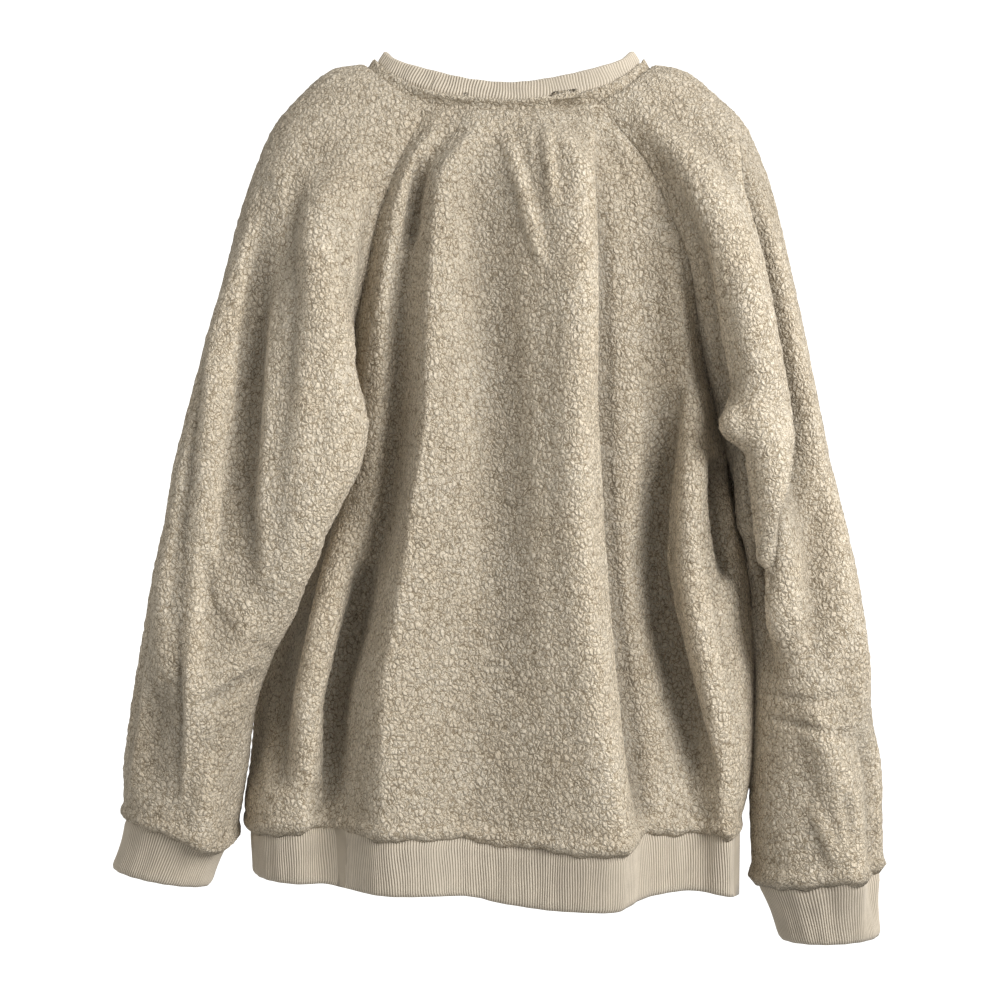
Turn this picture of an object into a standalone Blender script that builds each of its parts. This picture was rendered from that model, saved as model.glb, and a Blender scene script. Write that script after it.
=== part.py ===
"""Sherpa fleece pullover, hanging open and hollow, seen from its back in the photograph.

A raglan pullover of eight sewn pieces: back, front, two sleeves, and rib bands at the neck,
the hem and the two cuffs. Its front faces -Y, its back +Y, the wearer's left is +X.
The origin lies inside the collar, midway between the two shoulder points at the neck.
Sizes are in millimetres and are scaled to metres where a mesh is made.
"""
import math

import bpy
import numpy as np

MM = 0.001

# Cloth and seams
FLEECE_WALL = 4.0
RIB_WALL = 3.0
SEAM_GAP = 0.36
RIB_RAISE = 0.9
BAND_INSET = 1.5

# Ribs for each column of cloth in a band
HEM_RIBS = 3
CUFF_RIBS = 2
NECK_RIBS = 1

# Rows of cloth down each part of the garment
YOKE_ROWS = 11
BODY_ROWS = 13
ARM_ROWS = 14
ARM_COLUMNS = 26

# Fine steps along a row in each fold, and the least column as a share of an even one
FINE_STEPS = 12
LEAST_STEP = 0.72

# How far the middle of a row at the neck hangs below its ends, and how soon that dies away
BACK_SAG = -8.0
FRONT_SAG = -60.0
SAG_POWER = 1.4

# How far down from the neck, as a share of the yoke, its own curve goes over into the cloth's
SLEEVE_NECK_BLEND = 0.16
YOKE_NECK_BLEND = 0.22
FOLD_NECK_BLEND = 0.4

# Share of a ring beside a seam in which its folds die away
SEAM_CALM = 0.12

# Share by which each point is drawn to its neighbours to even the cloth
SOFTEN = 0.4

# How far the body is rounded at the underarm, where it meets the sleeve in a crease
UNDERARM_ROUND = 0.3
UNDERARM_WALL = 2.2

# Neck opening, at the seam where the band meets the fleece
NECK_HALF_WIDTH = 106.0
NECK_BACK_DEPTH = 36.0
NECK_FRONT_DEPTH = 52.0
NECK_SIDE_HEIGHT = -1.0
NECK_BACK_DROP = 42.0
NECK_FRONT_DROP = 118.0
NECK_PEAK_ROUND = 0.14
NECK_BAND_WIDTH = 20.0
NECK_BAND_LEAN = 0.55
NECK_BAND_CURL = 0.8

# Hem band and cuffs: how far folds run on to the hem's edge, how round it is there, and the
# share by which a cuff draws in at its middle
CUFF_WAIST = 0.05
HEM_FOLDS_KEPT = 0.62
HEM_ROUNDING = 14


def table(columns, rows):
    """A short table: a dictionary that gives each named column as an array."""
    values = np.array(rows, dtype=float)
    return {name: values[:, i] for i, name in enumerate(columns)}


def read(rows, key, column, at):
    """The column's value at a place between the table's rows, on a curve with no overshoot."""
    x = rows[key]
    y = rows[column]
    if x[0] > x[-1]:
        x = x[::-1]
        y = y[::-1]
    step = np.diff(x)
    rise = np.diff(y) / step
    slope = np.empty(len(x))
    slope[0] = rise[0]
    slope[-1] = rise[-1]
    for i in range(1, len(x) - 1):
        same_way = rise[i - 1] * rise[i] > 0
        slope[i] = 2 * rise[i - 1] * rise[i] / (rise[i - 1] + rise[i]) if same_way else 0.0
    at = min(max(at, x[0]), x[-1])
    i = min(max(int(np.searchsorted(x, at)) - 1, 0), len(x) - 2)
    t = (at - x[i]) / step[i]
    start = y[i] * (1 + 2 * t) * (1 - t) ** 2 + slope[i] * step[i] * t * (1 - t) ** 2
    end = y[i + 1] * (3 - 2 * t) * t * t + slope[i + 1] * step[i] * t * t * (t - 1)
    return start + end


def ease(t):
    """Goes smoothly from 0 to 1."""
    t = min(max(t, 0.0), 1.0)
    return t * t * (3 - 2 * t)


# Rings of the two sleeves. u is 0 at the neck, 1 at the underarm and 2 at the cuff's seam.
# out is the ring's outer point, back and front are where the raglan seams cross it, and the
# turns are the angles from out to those seams. Below the underarm both turns end at the
# sleeve's own seam, and back stands for the ring's innermost point.
RING = ("u", "out_x", "out_z", "back_x", "back_z", "front_x", "front_z",
        "back_turn", "front_turn", "middle_y", "half_depth")
LEFT_RINGS = table(RING, [
    (0.00, 106, 0, 63, -31, 84, -57, 90, 90, 0, 29),
    (0.15, 138, -6, 74, -61, 87, -76, 105, 97, 2, 32),
    (0.30, 168, -31, 85, -85, 95, -99, 120, 103, 5, 39),
    (0.42, 188, -57, 93, -106, 103, -123, 132, 108, 8, 45),
    (0.55, 205, -102, 103, -135, 111, -152, 147, 113, 14, 51),
    (0.70, 221, -159, 112, -176, 120, -192, 164, 124, 22, 54),
    (0.85, 241, -239, 126, -232, 131, -246, 184, 140, 30, 54),
    (1.00, 263, -326, 140, -311, 140, -311, 202, 158, 38, 54)])
RIGHT_RINGS = table(RING, [
    (0.00, -106, 0, -70, -27, -88, -51, 90, 90, 0, 28),
    (0.15, -137, -7, -83, -55, -93, -73, 105, 103, 1, 32),
    (0.30, -169, -32, -102, -80, -105, -97, 118, 114, 2, 39),
    (0.42, -187, -51, -113, -98, -115, -121, 128, 125, 3, 45),
    (0.55, -202, -82, -125, -127, -126, -149, 140, 138, 4, 52),
    (0.70, -215, -131, -139, -162, -139, -187, 152, 151, 5, 58),
    (0.85, -230, -206, -151, -225, -153, -243, 166, 165, 5, 62),
    (1.00, -251, -322, -174, -316, -174, -316, 180, 180, 5, 64)])

# Below the underarm: outer and inner edge of each ring, and the turn of the sleeve's seam.
ARM = ("u", "out_x", "out_z", "in_x", "in_z", "seam_turn", "middle_y", "half_depth")
LEFT_ARM = table(ARM, [
    (1.00, 263, -326, 134, -310, 202, 38, 54),
    (1.15, 270, -370, 141, -352, 204, 45, 51),
    (1.30, 278, -409, 154, -396, 206, 48, 47),
    (1.45, 285, -451, 167, -436, 206, 46, 46),
    (1.60, 292, -491, 185, -474, 206, 42, 48),
    (1.75, 299, -530, 199, -514, 202, 34, 49),
    (1.88, 304, -567, 206, -560, 198, 24, 47),
    (2.00, 303, -597, 216, -614, 195, 16, 43)])
RIGHT_ARM = table(ARM, [
    (1.00, -251, -322, -174, -316, 180, 5, 64),
    (1.15, -260, -368, -184, -360, 180, 13, 63),
    (1.30, -268, -411, -188, -402, 178, 20, 60),
    (1.45, -274, -452, -191, -446, 176, 24, 56),
    (1.60, -280, -487, -194, -487, 174, 24, 53),
    (1.75, -286, -527, -192, -537, 172, 20, 51),
    (1.88, -294, -566, -191, -585, 170, 15, 49),
    (2.00, -296, -641, -194, -651, 170, 9, 46)])

# Folds of the sleeves: each row gives a place along the sleeve, the fold's turn round the ring
# from its outer point (over the back when positive), its height (a trough when negative) and
# how far it reaches to its outer and inner side.
FOLD = ("u", "turn", "height", "reach_out", "reach_in")
LEFT_FOLDS = {
    "broad inner roll": table(FOLD, [
        (0.30, 104, 0, 30, 24), (0.55, 118, 10, 36, 26), (0.70, 128, 16, 40, 26),
        (0.85, 138, 20, 42, 26), (1.00, 142, 22, 44, 28), (1.15, 146, 18, 44, 28),
        (1.30, 148, 10, 40, 28), (1.45, 140, 0, 34, 28)]),
    "long trough": table(FOLD, [
        (0.35, 80, 0, 20, 20), (0.55, 76, -8, 24, 24), (0.85, 74, -15, 28, 28),
        (1.00, 76, -18, 30, 30), (1.30, 86, -16, 30, 30), (1.50, 100, -8, 28, 28),
        (1.62, 112, 0, 26, 26)]),
    "middle ridge": table(FOLD, [
        (0.60, 46, 0, 24, 24), (0.85, 42, 8, 24, 24), (1.15, 48, 13, 24, 26),
        (1.35, 54, 14, 24, 28), (1.50, 66, 12, 28, 28), (1.64, 84, 8, 30, 30),
        (1.80, 110, 0, 30, 30)]),
    "outer trough": table(FOLD, [
        (0.65, 16, 0, 20, 20), (0.85, 14, -6, 20, 20), (1.30, 16, -9, 22, 22),
        (1.75, 20, -9, 22, 22), (1.95, 22, 0, 20, 20)]),
    "elbow trough": table(FOLD, [
        (1.60, 60, 0, 24, 24), (1.72, 62, -8, 26, 26), (1.84, 66, -8, 26, 26),
        (1.96, 70, 0, 24, 24)]),
    "front ridge": table(FOLD, [
        (0.35, -62, 0, 30, 30), (0.70, -60, 10, 30, 30), (1.20, -56, 14, 32, 32),
        (1.60, -66, 10, 30, 30), (1.85, -70, 0, 28, 28)]),
    "front trough": table(FOLD, [
        (0.60, -92, 0, 24, 24), (1.00, -96, -9, 26, 26), (1.45, -104, -10, 26, 26),
        (1.80, -110, 0, 24, 24)])}
RIGHT_FOLDS = {
    "high back ridge": table(FOLD, [
        (0.12, 92, 0, 22, 26), (0.30, 98, 10, 20, 30), (0.55, 100, 15, 20, 32),
        (0.85, 104, 19, 20, 34), (1.05, 110, 21, 20, 34), (1.25, 118, 18, 22, 32),
        (1.42, 132, 12, 24, 28), (1.55, 148, 0, 24, 24)]),
    "seam trough": table(FOLD, [
        (0.30, 118, 0, 18, 18), (0.60, 130, -6, 20, 20), (0.85, 142, -9, 22, 22),
        (1.02, 152, -8, 22, 22), (1.15, 158, 0, 20, 20)]),
    "outer trough": table(FOLD, [
        (0.45, 70, 0, 20, 20), (0.85, 66, -11, 24, 24), (1.15, 70, -13, 26, 26),
        (1.40, 84, -11, 24, 24), (1.60, 96, 0, 22, 22)]),
    "outer ridge": table(FOLD, [
        (0.70, 32, 0, 24, 24), (1.05, 30, 5, 24, 24), (1.50, 36, 8, 24, 24),
        (1.75, 40, 0, 24, 24)]),
    "cuff ridge": table(FOLD, [
        (1.62, 96, 0, 20, 20), (1.80, 84, 9, 20, 22), (2.00, 66, 9, 20, 22)]),
    "cuff trough": table(FOLD, [
        (1.72, 48, 0, 18, 18), (1.85, 38, -10, 20, 18), (2.00, 34, -7, 20, 18)]),
    "underarm trough": table(FOLD, [
        (1.05, 160, 0, 20, 20), (1.25, 152, -14, 22, 22), (1.45, 156, -11, 24, 24),
        (1.65, 150, 0, 22, 22)]),
    "front ridge": table(FOLD, [
        (0.30, -72, 0, 30, 30), (0.75, -70, 11, 30, 30), (1.25, -66, 14, 32, 32),
        (1.65, -72, 9, 30, 30), (1.90, -70, 0, 28, 28)]),
    "front trough": table(FOLD, [
        (0.60, -112, 0, 24, 24), (1.00, -118, -9, 26, 26), (1.50, -110, -9, 26, 26),
        (1.85, -106, 0, 24, 24)])}

# Long folds of the back, from the left side to the right. Each line is the crest of a ridge
# or the bottom of a trough: where it lies and how far it stands out at several heights.
LINE = ("z", "x", "y")
BACK_LINES = {
    "left ridge": table(LINE, [
        (-40, 62, 32), (-60, 69, 42), (-120, 85, 56), (-200, 97, 58), (-280, 101, 50),
        (-350, 109, 45), (-430, 134, 54), (-510, 155, 58), (-600, 159, 60)]),
    "left trough": table(LINE, [
        (-40, 56, 32), (-60, 60, 38), (-120, 73, 45), (-200, 84, 44), (-280, 89, 38),
        (-350, 95, 33), (-430, 116, 32), (-510, 136, 34), (-600, 143, 44)]),
    "left roll": table(LINE, [
        (-40, 40, 36), (-60, 42, 49), (-120, 54, 66), (-200, 59, 80), (-280, 61, 86),
        (-350, 71, 88), (-430, 82, 89), (-510, 93, 89), (-600, 92, 86)]),
    "middle hollow": table(LINE, [
        (-40, 22, 37), (-60, 25, 42), (-120, 24, 53), (-200, 18, 61), (-280, 12, 66),
        (-350, 12, 68), (-430, 18, 68), (-510, 22, 67), (-600, 20, 70)]),
    "right roll": table(LINE, [
        (-40, -52, 36), (-60, -55, 50), (-120, -55, 70), (-200, -55, 84), (-280, -52, 89),
        (-350, -52, 90), (-430, -58, 90), (-510, -68, 91), (-600, -84, 94)]),
    "roll foot": table(LINE, [
        (-40, -60, 33), (-60, -68, 41), (-120, -76, 50), (-200, -78, 52), (-280, -77, 48),
        (-350, -79, 45), (-430, -86, 44), (-510, -96, 46), (-600, -108, 56)]),
    "right trough": table(LINE, [
        (-40, -64, 31), (-60, -74, 36), (-120, -96, 42), (-200, -108, 39), (-280, -118, 31),
        (-350, -118, 27), (-430, -120, 26), (-510, -135, 30), (-600, -149, 42)]),
    "right ridge": table(LINE, [
        (-40, -68, 29), (-60, -82, 36), (-120, -107, 41), (-200, -127, 40), (-280, -141, 44),
        (-350, -143, 58), (-430, -144, 62), (-510, -158, 60), (-600, -167, 56)])}
BACK_COLUMNS = (4, 2, 4, 4, 4, 2, 3, 3, 4)

# Long folds of the front, from the left side to the right, of the same kind as the back's.
FRONT_LINES = {
    "left ridge": table(LINE, [
        (-60, 76, 36), (-130, 90, 42), (-200, 100, 50), (-280, 108, 54), (-350, 104, 56),
        (-430, 118, 58), (-510, 140, 58), (-600, 150, 54)]),
    "left trough": table(LINE, [
        (-60, 68, 38), (-130, 72, 40), (-200, 78, 42), (-280, 82, 40), (-350, 80, 38),
        (-430, 90, 38), (-510, 106, 40), (-600, 112, 44)]),
    "left roll": table(LINE, [
        (-60, 50, 44), (-130, 44, 56), (-200, 42, 68), (-280, 44, 76), (-350, 48, 78),
        (-430, 54, 80), (-510, 62, 78), (-600, 64, 74)]),
    "middle hollow": table(LINE, [
        (-60, 0, 48), (-130, -2, 55), (-200, -6, 58), (-280, -8, 60), (-350, -6, 60),
        (-430, 2, 58), (-510, 8, 58), (-600, 10, 62)]),
    "right roll": table(LINE, [
        (-60, -54, 44), (-130, -54, 56), (-200, -56, 68), (-280, -58, 74), (-350, -56, 76),
        (-430, -52, 76), (-510, -48, 76), (-600, -46, 72)]),
    "right trough": table(LINE, [
        (-60, -72, 38), (-130, -82, 42), (-200, -94, 42), (-280, -98, 40), (-350, -96, 36),
        (-430, -94, 36), (-510, -92, 38), (-600, -90, 46)]),
    "right ridge": table(LINE, [
        (-60, -80, 34), (-130, -106, 42), (-200, -126, 50), (-280, -138, 54), (-350, -136, 56),
        (-430, -134, 60), (-510, -138, 58), (-600, -144, 54)])}
FRONT_COLUMNS = (4, 2, 3, 3, 3, 3, 2, 4)

# Sides of the body below the underarm, and the height of the hem's seam across the back.
SIDE = ("z", "left_x", "left_y", "left_round", "right_x", "right_y", "right_round")
SIDES = table(SIDE, [
    (-311, 140, 18, 0.2, -174, 5, 0.3), (-338, 138, 15, 0.1, -176, 3, 0.3),
    (-362, 145, 1, 0.1, -181, -16, 0.6), (-390, 160, -8, 0, -189, -32, 0.9),
    (-430, 176, -14, 0, -194, -38, 1), (-470, 194, -15, 0, -195, -36, 1),
    (-510, 206, -13, 0.1, -195, -28, 1), (-560, 208, -6, 0.6, -191, -14, 1),
    (-592, 211, -2, 1, -187, -5, 1), (-612, 207, 0, 1, -180, 0, 1)])
HEM_SEAM = table(("x", "z", "edge_z"), [
    (-181, -610, -660), (-165, -608, -657), (-138, -607, -654), (-108, -605, -656),
    (-84, -616, -662), (-38, -614, -662), (7, -611, -658), (40, -606, -652),
    (92, -605, -651), (128, -602, -649), (160, -603, -647), (200, -608, -646)])


# Lower end of each cuff: outer and inner point of its oval, and the oval's middle and depth.
CUFF = ("out_x", "out_z", "in_x", "in_z", "middle_y", "half_depth")
CUFF_ENDS = {
    "cuff_left": dict(zip(CUFF, (315, -640, 235, -655, 16, 34))),
    "cuff_right": dict(zip(CUFF, (-296, -695, -214, -699, 8, 35)))}


def neck_seam(turn):
    """A point of the neck's seam. The turn is 0 at the back's middle and 90 at the left side."""
    angle = math.radians(turn)
    across = math.sin(angle)
    along = math.cos(angle)
    fall = math.hypot(along, NECK_PEAK_ROUND) - NECK_PEAK_ROUND
    if along > 0:
        return np.array([NECK_HALF_WIDTH * across, NECK_BACK_DEPTH * along,
                         NECK_SIDE_HEIGHT - NECK_BACK_DROP * fall])
    return np.array([NECK_HALF_WIDTH * across, NECK_FRONT_DEPTH * along,
                     NECK_SIDE_HEIGHT - NECK_FRONT_DROP * fall])


def neck_turn(x, on_back):
    """The turn of the neck's seam at a width, on the back or on the front."""
    turn = math.degrees(math.asin(max(-1.0, min(1.0, x / NECK_HALF_WIDTH))))
    if on_back:
        return turn
    return (180 if x >= 0 else -180) - turn


def fold_push(folds, u, turn, radius):
    """How far all of a sleeve's folds push its cloth out at one place."""
    push = 0.0
    for fold in folds.values():
        if not fold["u"][0] < u <= fold["u"][-1]:
            continue
        height = read(fold, "u", "height", u)
        away = turn - read(fold, "u", "turn", u)
        distance = math.radians(away) * radius
        inward = distance * math.copysign(1, read(fold, "u", "turn", u)) > 0
        reach = read(fold, "u", "reach_in" if inward else "reach_out", u)
        if abs(distance) < reach:
            push += height * (1 - (distance / reach) ** 2) ** 2
    return push


def ring_point(centre, arm, depth, turn, push):
    """A point on a sleeve's ring, pushed out square to the ring."""
    angle = math.radians(turn)
    across = np.array([arm[0] * math.cos(angle), depth * math.sin(angle), arm[2] * math.cos(angle)])
    width = math.hypot(arm[0], arm[2])
    unit = arm / width
    out = unit * math.cos(angle) / width + np.array([0, math.sin(angle) / depth, 0])
    out = out / np.linalg.norm(out)
    return centre + across + out * push


def shoulder_ring(rings, folds, u, columns):
    """One row of a sleeve above the underarm, from the back raglan seam to the front one."""
    value = {name: read(rings, "u", name, u) for name in RING[1:]}
    out = np.array([value["out_x"], 0, value["out_z"]])
    row = []
    for j in range(columns + 1):
        share = j / columns
        turn = value["back_turn"] * (1 - share) - value["front_turn"] * share
        side = "back" if turn >= 0 else "front"
        seam = np.array([value[side + "_x"], 0, value[side + "_z"]])
        arm = (out - seam) / (1 - math.cos(math.radians(value[side + "_turn"])))
        centre = out - arm + np.array([0, value["middle_y"], 0])
        radius = (np.linalg.norm(arm) + value["half_depth"]) / 2
        push = fold_push(folds, u, turn, radius)
        push *= ease(min(share, 1 - share) / SEAM_CALM)
        row.append(ring_point(centre, arm, value["half_depth"], turn, push))
    start = neck_turn(rings["back_x"][0], True)
    end = neck_turn(rings["front_x"][0], False)
    settle = ease(u / SLEEVE_NECK_BLEND)
    on_neck = [neck_seam(start + (end - start) * j / columns) for j in range(columns + 1)]
    return [a * (1 - settle) + b * settle for a, b in zip(on_neck, row)]


def arm_ring(rings, folds, u, columns):
    """One row of a sleeve below the underarm, once round from its seam to its seam."""
    value = {name: read(rings, "u", name, u) for name in ARM[1:]}
    out = np.array([value["out_x"], value["middle_y"], value["out_z"]])
    inner = np.array([value["in_x"], value["middle_y"], value["in_z"]])
    arm = (out - inner) / 2
    centre = (out + inner) / 2
    radius = (np.linalg.norm(arm) + value["half_depth"]) / 2
    row = []
    for j in range(columns):
        turn = value["seam_turn"] - 360 * j / columns
        bent = turn if turn <= 180 else turn - 360
        push = fold_push(folds, u, turn if turn > -180 else turn + 360, radius)
        if u < 1.2:
            push *= ease(min(j, columns - j) / columns / SEAM_CALM)
        row.append(ring_point(centre, arm, value["half_depth"], bent, push))
    row.append(row[0].copy())
    return row


def body_row(left, right, lines, columns, height_at, facing, roundness):
    """One row of the back or the front, from the left seam to the right seam through each fold."""
    spots = [np.array(left)]
    names = list(lines)
    least = min(6.0, (left[0] - right[0]) / (len(names) + 1) * 0.55)
    for k, name in enumerate(names):
        x = read(lines[name], "z", "x", height_at(0.0))
        x = read(lines[name], "z", "x", height_at(x))
        x = min(x, left[0] - least * (k + 1))
        x = max(x, right[0] + least * (len(names) - k))
        x = min(x, spots[-1][0] - least * 0.5)
        z = height_at(x)
        spots.append(np.array([x, facing * read(lines[name], "z", "y", z), z]))
    spots.append(np.array(right))
    last = len(columns) - 1
    across, out, place = [], [], []
    for k in range(len(columns)):
        start, end = spots[k], spots[k + 1]
        for j in range(FINE_STEPS + (k == last)):
            t = j / FINE_STEPS
            x_share, y_share = t, ease(t)
            if k == 0:
                x_share += roundness[0] * (1 - math.cos(t * math.pi / 2) - x_share)
                y_share += roundness[0] * (math.sin(t * math.pi / 2) - y_share)
            if k == last:
                x_share += roundness[1] * (math.sin(t * math.pi / 2) - x_share)
                y_share += roundness[1] * (1 - math.cos(t * math.pi / 2) - y_share)
            across.append(start[0] + (end[0] - start[0]) * x_share)
            out.append(start[1] + (end[1] - start[1]) * y_share)
            place.append(k + t)
    length = np.concatenate([[0], np.cumsum(np.hypot(np.diff(across), np.diff(out)))])
    wanted = [k + j / cells for k, cells in enumerate(columns) for j in range(cells)] + [last + 1]
    step = np.diff(np.interp(wanted, place, length))
    least_step = LEAST_STEP * length[-1] / len(step)
    step = np.maximum(step, least_step)
    spare = (length[-1] - least_step * len(step)) / np.sum(step - least_step)
    step = least_step + (step - least_step) * spare
    ends = np.concatenate([[0], np.cumsum(step)])
    xs = np.interp(ends, length, across)
    ys = np.interp(ends, length, out)
    row = [np.array([x, y, height_at(x)]) for x, y in zip(xs, ys)]
    row[0] = np.array(left)
    row[-1] = np.array(right)
    return row


def yoke_row(left, right, lines, columns, on_back, v):
    """A row of the back or the front above the underarm, which starts on the neck's seam."""
    facing = 1 if on_back else -1
    sag = (BACK_SAG if on_back else FRONT_SAG) * (1 - v) ** SAG_POWER

    def height_at(x):
        share = (left[0] - x) / (left[0] - right[0])
        level = left[2] + (right[2] - left[2]) * share
        return level + sag * (1 - (2 * share - 1) ** 2)

    row = body_row(left, right, lines, columns, height_at, facing, (UNDERARM_ROUND * ease(v),) * 2)
    spread = ease(v / FOLD_NECK_BLEND)
    for j, spot in enumerate(row):
        even = left[0] + (right[0] - left[0]) * j / (len(row) - 1)
        spot[0] = even + (spot[0] - even) * spread
        if 0 < j < len(row) - 1:
            spot[2] = height_at(spot[0])
    settle = ease(v / YOKE_NECK_BLEND)
    if settle < 1:
        width = (left[0] - right[0]) / 2
        middle = (left[0] + right[0]) / 2
        neck_left = neck_seam(neck_turn(LEFT_RINGS["back_x" if on_back else "front_x"][0], on_back))
        neck_right = neck_seam(neck_turn(RIGHT_RINGS["back_x" if on_back else "front_x"][0], on_back))
        neck_width = (neck_left[0] - neck_right[0]) / 2
        neck_middle = (neck_left[0] + neck_right[0]) / 2
        for j, spot in enumerate(row[1:-1], 1):
            share = (spot[0] - middle) / width
            on_neck = neck_seam(neck_turn(neck_middle + share * neck_width, on_back))
            spot[1] = on_neck[1] + (spot[1] - on_neck[1]) * settle
            if v == 0:
                row[j] = on_neck
    return row


def hem_height(x):
    """The height of the hem's seam."""
    return read(HEM_SEAM, "x", "z", x)


def lower_row(lines, columns, facing, t):
    """A row of the back or the front between the underarm and the hem."""
    left_top, right_top = LEFT_ARM["in_z"][0] - 4, RIGHT_ARM["in_z"][0]
    left_z = left_top + (hem_height(SIDES["left_x"][-1]) - left_top) * t
    right_z = right_top + (hem_height(SIDES["right_x"][-1]) - right_top) * t
    left = np.array([read(SIDES, "z", "left_x", left_z), read(SIDES, "z", "left_y", left_z), left_z])
    right = np.array([read(SIDES, "z", "right_x", right_z), read(SIDES, "z", "right_y", right_z), right_z])

    def height_at(x):
        share = min(max((left[0] - x) / (left[0] - right[0]), 0.0), 1.0)
        top = left_top + (right_top - left_top) * share
        return top + (hem_height(x) - top) * t

    return body_row(left, right, lines, columns, height_at, facing,
                    (read(SIDES, "z", "left_round", left_z), read(SIDES, "z", "right_round", right_z)))


def build_net():
    """The garment's outer surface as four grids that share their seam points exactly."""
    left_sleeve, right_sleeve, back, front = [], [], [], []
    for i in range(YOKE_ROWS + 1):
        v = i / YOKE_ROWS
        left = shoulder_ring(LEFT_RINGS, LEFT_FOLDS, v, ARM_COLUMNS)
        right = shoulder_ring(RIGHT_RINGS, RIGHT_FOLDS, v, ARM_COLUMNS)
        if i == YOKE_ROWS:
            left[-1] = left[0].copy()
            right[-1] = right[0].copy()
        left_sleeve.append(left)
        right_sleeve.append(right)
        back.append(yoke_row(left[0], right[0], BACK_LINES, BACK_COLUMNS, True, v))
        front.append(yoke_row(left[-1], right[-1], FRONT_LINES, FRONT_COLUMNS, False, v))
    for i in range(1, BODY_ROWS + 1):
        t = i / BODY_ROWS
        back.append(lower_row(BACK_LINES, BACK_COLUMNS, 1, t))
        front.append(lower_row(FRONT_LINES, FRONT_COLUMNS, -1, t))
    for i in range(1, ARM_ROWS + 1):
        u = 1 + i / ARM_ROWS
        left_sleeve.append(arm_ring(LEFT_ARM, LEFT_FOLDS, u, ARM_COLUMNS))
        right_sleeve.append(arm_ring(RIGHT_ARM, RIGHT_FOLDS, u, ARM_COLUMNS))
    return {name: np.array(rows) for name, rows in (
        ("back", back), ("front", front),
        ("sleeve_left", left_sleeve), ("sleeve_right", right_sleeve))}


# The order of a grid's corners that makes its faces look outward.
OUTWARD = {"back": -1, "front": 1, "sleeve_left": 1, "sleeve_right": -1}


def soften(net):
    """Evens the whole surface a little, across the seams too, and keeps the open edges."""
    key = {}
    place = []
    index = {}
    for name, grid in net.items():
        index[name] = np.empty(grid.shape[:2], dtype=int)
        for i, row in enumerate(grid):
            for j, spot in enumerate(row):
                mark = tuple(np.round(spot, 4))
                if mark not in key:
                    key[mark] = len(place)
                    place.append(np.array(spot, dtype=float))
                index[name][i, j] = key[mark]
    place = np.array(place)
    near = [set() for _ in place]
    fixed = set()
    for name, ids in index.items():
        near_rows = [(ids[:-1, :].ravel(), ids[1:, :].ravel()), (ids[:, :-1].ravel(), ids[:, 1:].ravel())]
        for first, second in near_rows:
            for a, b in zip(first, second):
                if a != b:
                    near[a].add(b)
                    near[b].add(a)
        fixed.update(ids[0])
        fixed.update(ids[-1])
    moved = place.copy()
    for a, others in enumerate(near):
        if a not in fixed:
            moved[a] = place[a] * (1 - SOFTEN) + place[list(others)].mean(axis=0) * SOFTEN
    return index, moved


def closed_edge(parts):
    """Joins the edge rows of several grids into one closed ring with no doubled points."""
    ring = []
    for part in parts:
        ring.extend(list(part[:-1]))
    return np.array(ring)


# Which way the cloth faces at the point of each underarm, left (0) and right (-1).
UNDERARM_WAYS = {0: (0.0, 0.0, -1.0), -1: (-0.1, 0.0, -0.995)}


def net_normals(index, place):
    """A normal for each point of the joined surface, shared fairly between pieces at a seam."""
    normal = np.zeros_like(place)
    for name, ids in index.items():
        own = np.zeros_like(place)
        a, b, c, d = ids[:-1, :-1], ids[:-1, 1:], ids[1:, 1:], ids[1:, :-1]
        face = np.cross(place[c] - place[a], place[d] - place[b]) * OUTWARD[name]
        face /= np.maximum(np.linalg.norm(face, axis=2, keepdims=True), 1e-9)
        for corner in (a, b, c, d):
            np.add.at(own, corner, face)
        normal += own / np.maximum(np.linalg.norm(own, axis=1, keepdims=True), 1e-9)
    normal /= np.maximum(np.linalg.norm(normal, axis=1, keepdims=True), 1e-9)
    for name in ("back", "front"):
        for column in (0, -1):
            seam = index[name][:, column]
            even = normal[seam].copy()
            even[1:-1] = normal[seam[:-2]] + 2 * normal[seam[1:-1]] + normal[seam[2:]]
            normal[seam] = even / np.linalg.norm(even, axis=1, keepdims=True)
            normal[index[name][YOKE_ROWS, column]] = UNDERARM_WAYS[column]
    for name in ("back", "front"):
        level = normal[index[name][-1]] * (1, 1, 0)
        normal[index[name][-1]] = level / np.linalg.norm(level, axis=1, keepdims=True)
    neck, up, out = neck_directions(index, place)
    normal[neck] = out
    return normal


def along_edge(line):
    """The direction of an edge at each of its points."""
    way = np.empty_like(line)
    way[1:-1] = line[2:] - line[:-2]
    way[0] = line[1] - line[0]
    way[-1] = line[-1] - line[-2]
    if np.allclose(line[0], line[-1]):
        way[0] = way[-1] = line[1] - line[-2]
    return way / np.maximum(np.linalg.norm(way, axis=1, keepdims=True), 1e-9)


def seam_gaps(name, grid, normals):
    """How each edge point moves, square to its seam, to keep the gap to the next piece."""
    half = SEAM_GAP / 2
    move = np.zeros_like(grid)
    turn = OUTWARD[name] * half
    move[0] += turn * np.cross(normals[0], along_edge(grid[0]))
    move[-1] -= turn * np.cross(normals[-1], along_edge(grid[-1]))
    sleeve_end = YOKE_ROWS + 1 if name.startswith("sleeve") else len(grid)
    left = slice(0, sleeve_end)
    move[left, 0] += turn * np.cross(along_edge(grid[left, 0]), normals[left, 0])
    move[left, -1] -= turn * np.cross(along_edge(grid[left, -1]), normals[left, -1])
    if name.startswith("sleeve"):
        out = 1 if name == "sleeve_left" else -1
        move[YOKE_ROWS, 0] = move[YOKE_ROWS, -1] = np.array([out * SEAM_GAP, 0, 0])
    else:
        facing = 1 if name == "back" else -1
        move[YOKE_ROWS, 0] = np.array([-half, facing * half, 0])
        move[YOKE_ROWS, -1] = np.array([half, facing * half, 0])
    return move


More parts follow.
